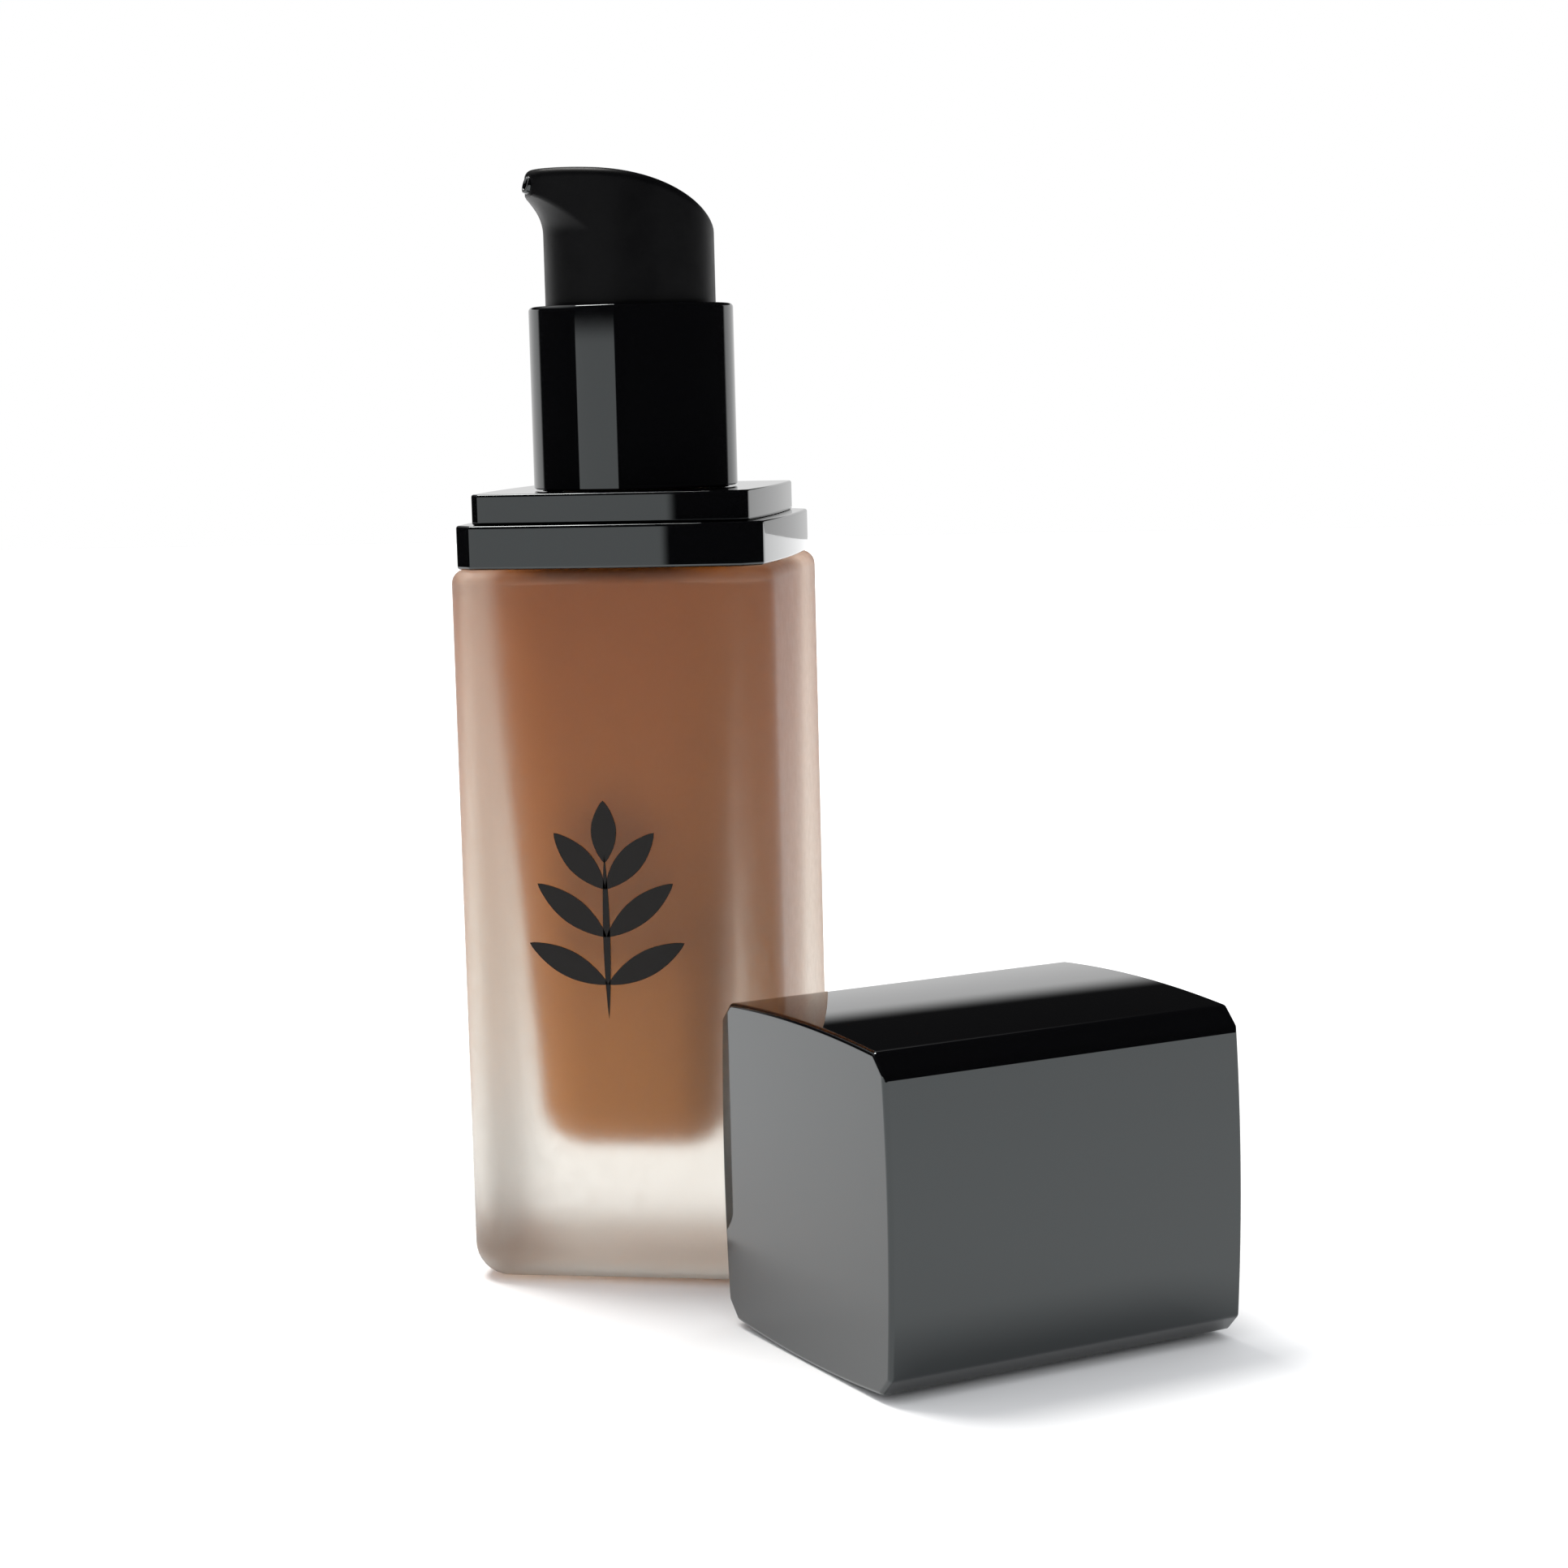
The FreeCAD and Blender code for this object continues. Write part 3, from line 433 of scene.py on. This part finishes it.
SLEEVE_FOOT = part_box("collar_sleeve")[0][2]
SLEEVE_RADIUS, _, SLEEVE_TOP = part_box("collar_sleeve")[1]
SLEEVE_BORE, _, SLEEVE_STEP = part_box("screw_closure")[1]
SLEEVE_MOUTH = 9.5 * MM
RIM_ROUND = 0.45 * MM
FOOT_BEVEL = 0.15 * MM
BEVEL_END = 0.05 * MM
sleeve_profile = [(SLEEVE_RADIUS - FOOT_BEVEL, SLEEVE_FOOT), (SLEEVE_RADIUS, SLEEVE_FOOT + FOOT_BEVEL),
                  (SLEEVE_RADIUS, SLEEVE_FOOT + FOOT_BEVEL + BEVEL_END),
                  (SLEEVE_RADIUS, SLEEVE_TOP - RIM_ROUND - BEVEL_END)]
sleeve_profile += rounded_rim(SLEEVE_RADIUS, SLEEVE_TOP, RIM_ROUND, inwards=True)
sleeve_profile += rounded_rim(SLEEVE_MOUTH, SLEEVE_TOP, RIM_ROUND * 0.5, inwards=False)
sleeve_profile += [(SLEEVE_MOUTH, SLEEVE_STEP), (SLEEVE_BORE, SLEEVE_STEP), (SLEEVE_BORE, SLEEVE_FOOT)]
sleeve_profile.append(sleeve_profile[0])
sleeve = skin("collar_sleeve_gloss", turned_rings(sleeve_profile), closed=False)
crisp(sleeve)
sleeve.data.materials.append(lacquer)
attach(sleeve, "closure")
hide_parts("collar_sleeve")


# ---- Pump housing ----
# Stepped tube that hangs in the neck from its flange and holds every working part of the pump.
# It is moulded in natural polypropylene, left uncoloured.

def natural_plastic():
    """Unfilled polypropylene: milky, slightly see-through, with soft cloudy shade and fine grain."""
    material, nodes, links, shader = new_material("natural_polypropylene")
    cloud = grain(nodes, links, 180)
    two_tones(nodes, links, shader, cloud.outputs["Fac"], (0.72, 0.72, 0.70), (0.82, 0.82, 0.80))
    links.new(spread(nodes, links, cloud.outputs["Fac"], 0.32, 0.45), shader.inputs["Roughness"])
    shader.inputs["Subsurface Weight"].default_value = 0.3
    shader.inputs["Subsurface Scale"].default_value = 0.002
    fine = grain(nodes, links, 5000)
    emboss(nodes, links, shader, fine.outputs["Fac"], 0.15, 0.00001)
    return material


natural = natural_plastic()
finish_node("pump_housing", natural)


# ---- Lock ring ----
# Snap ring pressed into the top of the housing. It guides the stem and stops it at the top of
# its stroke, and its bead keeps the closure on the pump.

finish_node("lock_ring", natural)


# ---- Neck gasket ----
# Flat washer stamped from closed-cell foam sheet. It seals the flange on the glass when the
# closure is screwed down.

def gasket_foam():
    """Closed-cell foam washer: pale grey, matt, with cells about a tenth of a millimetre across."""
    material, nodes, links, shader = new_material("closed_cell_foam")
    place = nodes.new("ShaderNodeTexCoord")
    cells = nodes.new("ShaderNodeTexVoronoi")
    cells.inputs["Scale"].default_value = 8000
    links.new(place.outputs["Object"], cells.inputs["Vector"])
    two_tones(nodes, links, shader, cells.outputs["Distance"], (0.55, 0.56, 0.57), (0.72, 0.73, 0.74))
    shader.inputs["Roughness"].default_value = 0.85
    emboss(nodes, links, shader, cells.outputs["Distance"], 0.4, 0.00004)
    return material


finish_node("neck_gasket", gasket_foam())


# ---- Dip tube ----
# Straight extruded tube pushed onto the housing's tail. It reaches down to just above the
# cavity's floor.

finish_node("dip_tube", natural)


# ---- Return spring ----
# Compression spring coiled from stainless wire. It stands on the housing's ledge and lifts the
# stem after each press.

def spring_steel():
    """Drawn stainless wire: bright, with fine draw marks that break up its shine."""
    material, nodes, links, shader = new_material("drawn_stainless_wire")
    shader.inputs["Metallic"].default_value = 1.0
    marks = grain(nodes, links, 2500)
    two_tones(nodes, links, shader, marks.outputs["Fac"], (0.50, 0.49, 0.47), (0.62, 0.61, 0.59))
    links.new(spread(nodes, links, marks.outputs["Fac"], 0.2, 0.34), shader.inputs["Roughness"])
    return material


finish_node("return_spring", spring_steel())


# ---- Check ball ----
# Loose glass ball on the conical seat at the foot of the pump. It lets liquid up and closes
# when the head is pressed.

def clear_ball():
    """Ground glass valve ball: clear, with the faint uneven polish that tumbling leaves."""
    material, nodes, links, shader = new_material("tumbled_glass_ball")
    shader.inputs["Transmission Weight"].default_value = 1.0
    shader.inputs["IOR"].default_value = 1.52
    haze = grain(nodes, links, 1500)
    two_tones(nodes, links, shader, haze.outputs["Fac"], (0.86, 0.90, 0.89), (0.93, 0.96, 0.95))
    links.new(spread(nodes, links, haze.outputs["Fac"], 0.03, 0.1), shader.inputs["Roughness"])
    return material


finish_node("check_ball", clear_ball())


# ---- Piston stem ----
# Hollow stem that carries the liquid up to the head, with ports in its side that the piston
# opens and closes.

finish_node("piston_stem", natural)


# ---- Stem plug ----
# Plug pressed into the stem's foot. The spring pushes on it, and the piston seals against its
# flange.

finish_node("stem_plug", natural)


# ---- Main piston ----
# Soft ring with thin lips that wipe the cylinder's wall. It slips a little on the stem, which
# opens the ports on the way down.

def white_piston():
    """Denser white polyethylene of the piston, waxier than the housing."""
    material, nodes, links, shader = new_material("waxy_polyethylene")
    cloud = grain(nodes, links, 260)
    two_tones(nodes, links, shader, cloud.outputs["Fac"], (0.80, 0.80, 0.80), (0.88, 0.88, 0.87))
    links.new(spread(nodes, links, cloud.outputs["Fac"], 0.4, 0.55), shader.inputs["Roughness"])
    return material


finish_node("main_piston", white_piston())


# ---- Actuator head ----
# Satin black finger head in one moulding: a round skirt, a top that falls away to the back in
# one convex curve, and a short pouring spout drawn out of the front with a hollow under-curve.

HEAD_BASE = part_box("actuator_head")[0][2]
HEAD_RADIUS = 9.15 * MM
HEAD_TOP = 117.8 * MM
HEAD_EDGE = 0.9 * MM
CROWN_RADIUS = 28.7 * MM
CROWN_PEAK = 9.0 * MM
SPOUT_REACH = 11.3 * MM
SPOUT_HALF = 1.6 * MM
SPOUT_START = 111.0 * MM
SPOUT_LIP = 115.3 * MM
SPOUT_FLARE = 2.6 * MM
SKIRT_WALL = 0.95 * MM
HOLLOW_ROOF = 110.5 * MM
NOZZLE_AZIMUTH = math.radians(212.0)
NOZZLE_RISE = math.radians(17.0)
NOZZLE_LEVEL = 112.75 * MM
NOZZLE_SEAT = 1.0 * MM
POLE = 0.02


def spout_plan(count=256):
    """The head from above: a circle, and two flanks that run from it to the spout's round tip.

    Distance from the axis at each angle: the circle's radius, or where the ray meets the
    flank line or the tip's square end, whichever reaches less, eased by a soft minimum.
    """
    angle = np.linspace(-math.pi, math.pi, count, endpoint=False)
    meet = math.atan2(SPOUT_HALF, SPOUT_REACH) + math.acos(HEAD_RADIUS / math.hypot(SPOUT_HALF, SPOUT_REACH))
    flank = HEAD_RADIUS / np.maximum(np.cos(np.abs(angle) - meet), 0.05)
    end = SPOUT_REACH / np.maximum(np.cos(angle), 0.05)
    power = 26.0
    tip = (flank ** -power + end ** -power) ** (-1 / power)
    reach = np.where(np.abs(angle) < meet, np.maximum(tip, HEAD_RADIUS), HEAD_RADIUS)
    return angle, reach


def crown_height(along):
    """Level of the top at a distance along the spout's direction: a circle arc about its peak."""
    return HEAD_TOP - CROWN_RADIUS + np.sqrt(CROWN_RADIUS ** 2 - (along - CROWN_PEAK) ** 2)


def head_rings():
    """The head's skin from its skirt to the middle of its top, as loops round the axis.

    Side: distance is the smaller of the plan and the flare, which leaves the skirt on an arc
    that starts upright. Edge: a quarter round. Top: the plan shrunk to a point on the crown.
    """
    angle, plan = spout_plan()
    ray = np.stack([np.cos(angle), np.sin(angle)], axis=1)
    edge_level = crown_height(plan * np.cos(angle)) - HEAD_EDGE
    rise = SPOUT_LIP - SPOUT_START
    sweep = (rise ** 2 + SPOUT_FLARE ** 2) / (2 * SPOUT_FLARE)
    rings = []
    for share in np.concatenate([np.linspace(0, 0.55, 6), np.linspace(0.6, 1, 40)]):
        level = HEAD_BASE + share * (edge_level - HEAD_BASE)
        climb = np.clip(level - SPOUT_START, 0, sweep * 0.999)
        flare = HEAD_RADIUS + sweep - np.sqrt(sweep ** 2 - climb ** 2)
        reach = np.minimum(plan, flare)
        rings.append(np.column_stack([ray * reach[:, None], level]))
    for turn in np.linspace(0, math.pi / 2, 9)[1:]:
        reach = plan - HEAD_EDGE * (1 - math.cos(turn))
        level = crown_height(reach * np.cos(angle)) - HEAD_EDGE * (1 - math.sin(turn))
        rings.append(np.column_stack([ray * reach[:, None], level]))
    for share in np.linspace(1, POLE, 24)[1:]:
        reach = (plan - HEAD_EDGE) * share
        rings.append(np.column_stack([ray * reach[:, None], crown_height(reach * np.cos(angle))]))
    return rings


def inner_rings():
    """The hollow under the head: up the inside of the skirt to a flat roof."""
    angle, _ = spout_plan()
    ray = np.stack([np.cos(angle), np.sin(angle)], axis=1)
    wall = HEAD_RADIUS - SKIRT_WALL
    profile = ((wall * POLE, HOLLOW_ROOF), (wall, HOLLOW_ROOF), (wall, HEAD_BASE))
    return [level_loop(ray * radius, level) for radius, level in profile]


def turn_about_axis(rings, angle):
    """Turn rings about the bottle's axis."""
    spin = np.array([[math.cos(angle), math.sin(angle), 0],
                     [-math.sin(angle), math.cos(angle), 0],
                     [0, 0, 1]])
    return [ring @ spin for ring in rings]


def duct_rings(profile, count=48):
    """Turn (radius, distance) points about the duct, which rises outwards from the bottle's axis."""
    angle = np.linspace(0, 2 * math.pi, count, endpoint=False)
    along = np.array([math.cos(NOZZLE_RISE), 0, math.sin(NOZZLE_RISE)])
    side = np.array([0.0, 1.0, 0.0])
    circle = np.outer(np.cos(angle), side) + np.outer(np.sin(angle), np.cross(along, side))
    return [circle * radius + along * distance + [0, 0, NOZZLE_LEVEL] for radius, distance in profile]


head = skin("finger_head", turn_about_axis(inner_rings() + head_rings(), NOZZLE_AZIMUTH))
crisp(head, 40)

# The nozzle's seat is cut by a plug that runs from the seat's floor to beyond the spout's tip.
plug_ends = duct_rings([(NOZZLE_SEAT, 9.0 * MM), (NOZZLE_SEAT, 14.0 * MM)])
drill = skin("nozzle_drill", turn_about_axis(plug_ends, NOZZLE_AZIMUTH))
cut = head.modifiers.new("nozzle_seat", "BOOLEAN")
cut.operation = "DIFFERENCE"
cut.solver = "EXACT"
cut.object = drill
bpy.context.view_layer.objects.active = head
bpy.ops.object.modifier_apply(modifier=cut.name)
bpy.data.objects.remove(drill)
crisp(head, 40)


def satin_black():
    """Fine spark-eroded black moulding: a soft sheen broken by a tiny even grain."""
    material, nodes, links, shader = new_material("satin_black_moulding")
    shade = grain(nodes, links, 300, 2.0)
    two_tones(nodes, links, shader, shade.outputs["Fac"], (0.0010, 0.0010, 0.0013), (0.0018, 0.0018, 0.0022))
    shader.inputs["Specular IOR Level"].default_value = 0.13
    links.new(spread(nodes, links, shade.outputs["Fac"], 0.34, 0.42), shader.inputs["Roughness"])
    pits = grain(nodes, links, 7000, 2.0)
    emboss(nodes, links, shader, pits.outputs["Fac"], 0.25, 0.00002)
    return material


head.data.materials.append(satin_black())
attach(head, "actuator")
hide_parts("actuator_head")


# ---- Actuator core ----
# Inner moulding of the head: the socket that grips the stem, and the duct that leads from it to
# the nozzle. The head hides it.

finish_node("actuator_core", hidden_black)


# ---- Nozzle insert ----
# Small black tube, moulded on its own and pushed into the seat in the tip of the spout. Its
# rolled lip frames the outlet.

def nozzle_rings():
    """A short tube with a rolled lip, along the duct: (radius, distance) points in mm, turned about it."""
    profile = [(0.99, 9.1), (0.99, 11.82), (0.96, 11.93), (0.88, 11.98), (0.76, 11.98), (0.68, 11.92),
               (0.65, 11.8), (0.65, 9.1)]
    return duct_rings([(radius * MM, distance * MM) for radius, distance in profile + profile[:1]])


nozzle = skin("nozzle_lip", turn_about_axis(nozzle_rings(), NOZZLE_AZIMUTH), closed=False)
crisp(nozzle, 50)
nozzle.data.materials.append(lacquer)
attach(nozzle, "actuator")
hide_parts("nozzle_insert")


# ---- Overcap shell ----
# Square gloss black cap that covers pump and seat when the bottle is closed. It lies loose on
# one side in front of the bottle, with its closed end towards the viewer.

CAP_YAW = math.radians(37.6)
CAP_SPOT = np.array([23.4 * MM, -42.55 * MM, 0])
CAP_LENGTH = 39.8 * MM
CAP_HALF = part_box("shoulder_plate")[1][0]
CAP_EDGE = 0.45 * MM
CAP_WALL = 1.0 * MM
LINER_OUTSIDE = 15.95 * MM


def lay_down(rings):
    """Turn rings stacked along Z to run along the floor at the cap's yaw, and set them in place."""
    forward = np.array([math.cos(CAP_YAW), math.sin(CAP_YAW), 0])
    sideways = np.array([-math.sin(CAP_YAW), math.cos(CAP_YAW), 0])
    base = np.array([sideways, [0, 0, 1.0], forward])
    return [ring @ base + CAP_SPOT + [0, 0, CAP_HALF] for ring in rings]


def cup_rings(outer, outer_out, inner, start, end, floor, edge, mouth_edge):
    """A square cup: from the middle of its closed end, up the outside, over the lip and back in."""
    rings = [level_loop(outer * share, start) for share in (POLE, 0.4, 0.75)]
    rings += [level_loop(outer - outer_out * (edge + HAIR), start)]
    rings += quarter_round(outer, outer_out, start + edge, edge, -90, 0, 7)[1:]
    rings += [level_loop(outer, level) for level in np.linspace(start + edge, end - mouth_edge, 12)[1:-1]]
    rings += quarter_round(outer, outer_out, end - mouth_edge, mouth_edge, 0, 90, 5)
    rings += [level_loop(inner, end), level_loop(inner, floor)]
    rings += [level_loop(inner * share, floor) for share in (0.6, POLE)]
    return rings


def matched(loop, template):
    """Pick points of a loop at the same angles about its centre as another loop's."""
    wanted = np.arctan2(template[:, 1], template[:, 0])
    angle = np.arctan2(loop[:, 1], loop[:, 0])
    order = np.argsort(angle)
    distance = np.hypot(loop[order, 0], loop[order, 1])
    reach = np.interp(wanted, angle[order], distance, period=2 * math.pi)
    return np.stack([np.cos(wanted), np.sin(wanted)], axis=1) * reach[:, None]


shell_outer, shell_out = crowned_loop(CAP_HALF, crown=0.6 * MM, chamfer=1.8 * MM, soften=0.7 * MM)
liner_outer, liner_out = crowned_loop(LINER_OUTSIDE, crown=0.55 * MM, chamfer=1.25 * MM, soften=0.15 * MM)
shell_rings = cup_rings(shell_outer, shell_out, matched(liner_outer, shell_outer), start=0, end=CAP_LENGTH,
                        floor=CAP_WALL, edge=CAP_EDGE, mouth_edge=CAP_EDGE / 2)
shell = skin("overcap_gloss_shell", lay_down(shell_rings))
crisp(shell)
shell.data.materials.append(lacquer)
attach(shell, "overcap")
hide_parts("overcap_shell")


# ---- Overcap liner ----
# Thin inner cup of matt black plastic, glued into the shell and a little shorter. It grips the
# cap seat when the cap is on.

LINER_INSIDE = 15.37 * MM
LINER_FLOOR = CAP_WALL + LINER_OUTSIDE - LINER_INSIDE
LINER_SHORT = 0.4 * MM
liner_inner, _ = crowned_loop(LINER_INSIDE, crown=0.55 * MM, chamfer=0.85 * MM, soften=0.15 * MM)
liner_rings = cup_rings(liner_outer, liner_out, matched(liner_inner, liner_outer), start=CAP_WALL,
                        end=CAP_LENGTH - LINER_SHORT, floor=LINER_FLOOR, edge=0.05 * MM, mouth_edge=0.1 * MM)
liner = skin("overcap_inner_liner", lay_down(liner_rings))
crisp(liner)
liner.data.materials.append(hidden_black)
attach(liner, "overcap")
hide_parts("overcap_liner")


# ---- Front ornament ----
# A plain sprig of pointed leaves, screen-printed in matt black ink on the frosted front face.
# It is drawn as a film of ink that keys a little way into the glass.

SPRIG_FOOT = np.array([-0.9, 28.8]) * MM
SPRIG_HIGH = 23.0 * MM
STEM_WIDE = 0.75 * MM
LEAF_WIDE = 2.7 * MM
PRINT_THICK = 0.1 * MM
PRINT_KEY = 0.02 * MM
LEAVES = ((0.16, 62, 9.4), (0.16, -62, 9.4), (0.38, 52, 9.2), (0.38, -52, 9.2), (0.60, 42, 8.0),
          (0.60, -42, 8.0), (0.72, 0, 6.6))


def pointed_leaf(foot, lean, length, width, along=26):
    """Outline of a leaf from its foot: half width is width times sin(pi t), raised to 0.8.

    The midrib leans from upright by an angle in degrees, towards the right when positive.
    """
    share = np.linspace(0, 1, along)
    swell = width / 2 * np.sin(math.pi * share) ** 0.8
    up = np.array([math.sin(math.radians(lean)), math.cos(math.radians(lean))])
    across = np.array([up[1], -up[0]])
    rib = foot + np.outer(share * length, up)
    return np.concatenate([rib + np.outer(swell, across), (rib - np.outer(swell, across))[-2:0:-1]])


def printed_sprig():
    """The stem and its leaves, each a flat outline given the print's thickness."""
    up = np.array([0.0, 1.0])
    outlines = [pointed_leaf(SPRIG_FOOT, 0, SPRIG_HIGH * 0.76, STEM_WIDE)]
    outlines += [pointed_leaf(SPRIG_FOOT + up * share * SPRIG_HIGH, lean, long * MM, LEAF_WIDE)
                 for share, lean, long in LEAVES]
    layers, faces, first = [], [], 0
    for outline in outlines:
        size = len(outline)
        for depth in (-GLASS_HALF + PRINT_KEY, -GLASS_HALF - PRINT_THICK):
            layers.append(np.column_stack([outline[:, 0], np.full(size, depth), outline[:, 1]]))
        under = first + np.arange(size)
        over = under + size
        rim = np.stack([under, np.roll(under, -1), np.roll(over, -1), over], axis=1)
        faces += [under[::-1].tolist(), over.tolist()] + rim.tolist()
        first += 2 * size
    mesh = bpy.data.meshes.new("printed_sprig")
    mesh.from_pydata(np.concatenate(layers).tolist(), [], faces)
    mesh.validate()
    piece = bpy.data.objects.new("printed_sprig", mesh)
    bpy.context.scene.collection.objects.link(piece)
    return piece


def matt_ink():
    """Screen-printed ink: dense warm black, dry, with the mesh's fine tooth."""
    material, nodes, links, shader = new_material("matt_black_ink")
    body = grain(nodes, links, 500)
    two_tones(nodes, links, shader, body.outputs["Fac"], (0.007, 0.006, 0.0055), (0.013, 0.011, 0.010))
    shader.inputs["Specular IOR Level"].default_value = 0.25
    links.new(spread(nodes, links, body.outputs["Fac"], 0.55, 0.68), shader.inputs["Roughness"])
    tooth = grain(nodes, links, 6000, 2.0)
    emboss(nodes, links, shader, tooth.outputs["Fac"], 0.3, 0.00002)
    return material


sprig = printed_sprig()
sprig.data.materials.append(matt_ink())
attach(sprig, "bottle")


# ---- Studio ----
# White room round a white table, lit by a soft key from high behind on the left. Gloss surfaces
# mirror a white card in front on the left and a pale backdrop, with darkness to the right.

CARD_GLOW = 1.15
BACKDROP_GLOW = 0.75
KEY_BOX_GLOW = 0.5
DARK_ROOM = 0.01
TABLE_CORNERS = ((-1.2, -0.75, 0), (1.2, -0.75, 0), (1.2, 1.6, 0), (-1.2, 1.6, 0))
TABLE_DROP = 0.0001
SUN_WAY = (0.33, -0.20, -0.92)


def studio_world():
    """White to the eye and as fill; mirror-like surfaces see card, backdrop and dark openings.

    The direction's azimuth and elevation pick the brightness from soft-edged bands.
    """
    world = bpy.data.worlds.new("studio")
    world.use_nodes = True
    bpy.context.scene.world = world
    nodes, links = world.node_tree.nodes, world.node_tree.links
    nodes.clear()

    def maths(operation, *values):
        node = nodes.new("ShaderNodeMath")
        node.operation = operation
        for socket, value in zip(node.inputs, values):
            if isinstance(value, (int, float)):
                socket.default_value = value
            else:
                links.new(value, socket)
        return node.outputs[0]

    def band(value, low, high, soft):
        """One between low and high, zero outside, with soft edges."""
        ramps = []
        for start, end in ((low - soft, low + soft), (high + soft, high - soft)):
            ramp = nodes.new("ShaderNodeMapRange")
            ramp.interpolation_type = "SMOOTHSTEP"
            flip = start > end
            ramp.inputs["From Min"].default_value = min(start, end)
            ramp.inputs["From Max"].default_value = max(start, end)
            ramp.inputs["To Min"].default_value = 1.0 if flip else 0.0
            ramp.inputs["To Max"].default_value = 0.0 if flip else 1.0
            links.new(value, ramp.inputs["Value"])
            ramps.append(ramp.outputs["Result"])
        return maths("MULTIPLY", *ramps)

    place = nodes.new("ShaderNodeTexCoord")
    split = nodes.new("ShaderNodeSeparateXYZ")
    links.new(place.outputs["Generated"], split.inputs[0])
    east, north, up = split.outputs
    azimuth = maths("MULTIPLY", maths("ARCTAN2", maths("MULTIPLY", east, -1.0),
                                      maths("MULTIPLY", north, -1.0)), 180 / math.pi)
    elevation = maths("MULTIPLY", maths("ARCSINE", up), 180 / math.pi)
    card = maths("MULTIPLY", band(azimuth, 7.5, 54, 0.5), band(elevation, -40, 1.0, 0.3))
    behind = maths("SUBTRACT", 1.0, band(azimuth, -141, 116, 3))
    backdrop = maths("MULTIPLY", behind, band(elevation, -60, 11.5, 2))
    key_box = maths("MULTIPLY", band(azimuth, 70, 175, 18), band(elevation, 28, 66, 8))
    glow = DARK_ROOM
    for patch, strength in ((card, CARD_GLOW), (backdrop, BACKDROP_GLOW), (key_box, KEY_BOX_GLOW)):
        glow = maths("MULTIPLY_ADD", patch, strength, glow)

    mirrored = nodes.new("ShaderNodeBackground")
    mirrored.inputs["Color"].default_value = (1.0, 1.0, 1.0, 1)
    links.new(glow, mirrored.inputs["Strength"])
    fill_light = nodes.new("ShaderNodeBackground")
    fill_light.inputs["Color"].default_value = (0.96, 0.975, 1.0, 1)
    fill_light.inputs["Strength"].default_value = 1.0
    seen = nodes.new("ShaderNodeBackground")
    seen.inputs["Color"].default_value = (1.0, 1.0, 1.0, 1)
    seen.inputs["Strength"].default_value = 1.0
    path = nodes.new("ShaderNodeLightPath")
    pick_glossy = nodes.new("ShaderNodeMixShader")
    links.new(path.outputs["Is Glossy Ray"], pick_glossy.inputs["Fac"])
    links.new(fill_light.outputs[0], pick_glossy.inputs[1])
    links.new(mirrored.outputs[0], pick_glossy.inputs[2])
    pick_seen = nodes.new("ShaderNodeMixShader")
    links.new(path.outputs["Is Camera Ray"], pick_seen.inputs["Fac"])
    links.new(pick_glossy.outputs[0], pick_seen.inputs[1])
    links.new(seen.outputs[0], pick_seen.inputs[2])
    out = nodes.new("ShaderNodeOutputWorld")
    links.new(pick_seen.outputs[0], out.inputs["Surface"])


studio_world()

table_mesh = bpy.data.meshes.new("white_table")
table_mesh.from_pydata(TABLE_CORNERS, [], [(0, 1, 2, 3)])
table_top = bpy.data.objects.new("white_table", table_mesh)
table_top.location.z = -TABLE_DROP
bpy.context.scene.collection.objects.link(table_top)
white, white_nodes, white_links, white_shader = new_material("white_table_paint")
mottle = grain(white_nodes, white_links, 8, 2.0)
two_tones(white_nodes, white_links, white_shader, mottle.outputs["Fac"], (0.93, 0.93, 0.93),
          (0.95, 0.95, 0.95))
white_shader.inputs["Roughness"].default_value = 0.7
white_shader.inputs["Specular IOR Level"].default_value = 0.2
table_mesh.materials.append(white)

key_lamp = bpy.data.lights.new("key", "SUN")
key_lamp.energy = 2.4
key_lamp.angle = math.radians(22)
key_lamp.color = (1.0, 0.985, 0.96)
key = bpy.data.objects.new("key", key_lamp)
key.rotation_euler = mathutils.Vector(SUN_WAY).to_track_quat("-Z", "Y").to_euler()
bpy.context.scene.collection.objects.link(key)


# ---- Camera ----
# Set a little above the bottle's middle, in front and to its right, and leaning a little to one
# side, as a camera held in the hand does.

YAW, PITCH, ROLL = 0.1678, 0.1243, -0.0248
LENS_SPOT = (0.0735, -0.3429, 0.0949)
level_ahead = mathutils.Vector((-math.sin(YAW), math.cos(YAW), 0))
ahead = math.cos(PITCH) * level_ahead + mathutils.Vector((0, 0, -math.sin(PITCH)))
level_right = mathutils.Vector((math.cos(YAW), math.sin(YAW), 0))
level_up = level_right.cross(ahead)
right = math.cos(ROLL) * level_right + math.sin(ROLL) * level_up
up = -math.sin(ROLL) * level_right + math.cos(ROLL) * level_up
lens = bpy.data.cameras.new("camera")
lens.sensor_width = 36.0
lens.lens = 74.0
lens.clip_start = 0.01
camera = bpy.data.objects.new("camera", lens)
turned = mathutils.Matrix((right, up, -ahead)).transposed().to_4x4()
camera.matrix_world = mathutils.Matrix.Translation(LENS_SPOT) @ turned
bpy.context.scene.collection.objects.link(camera)
bpy.context.scene.camera = camera
bpy.context.scene.view_settings.view_transform = "Standard"
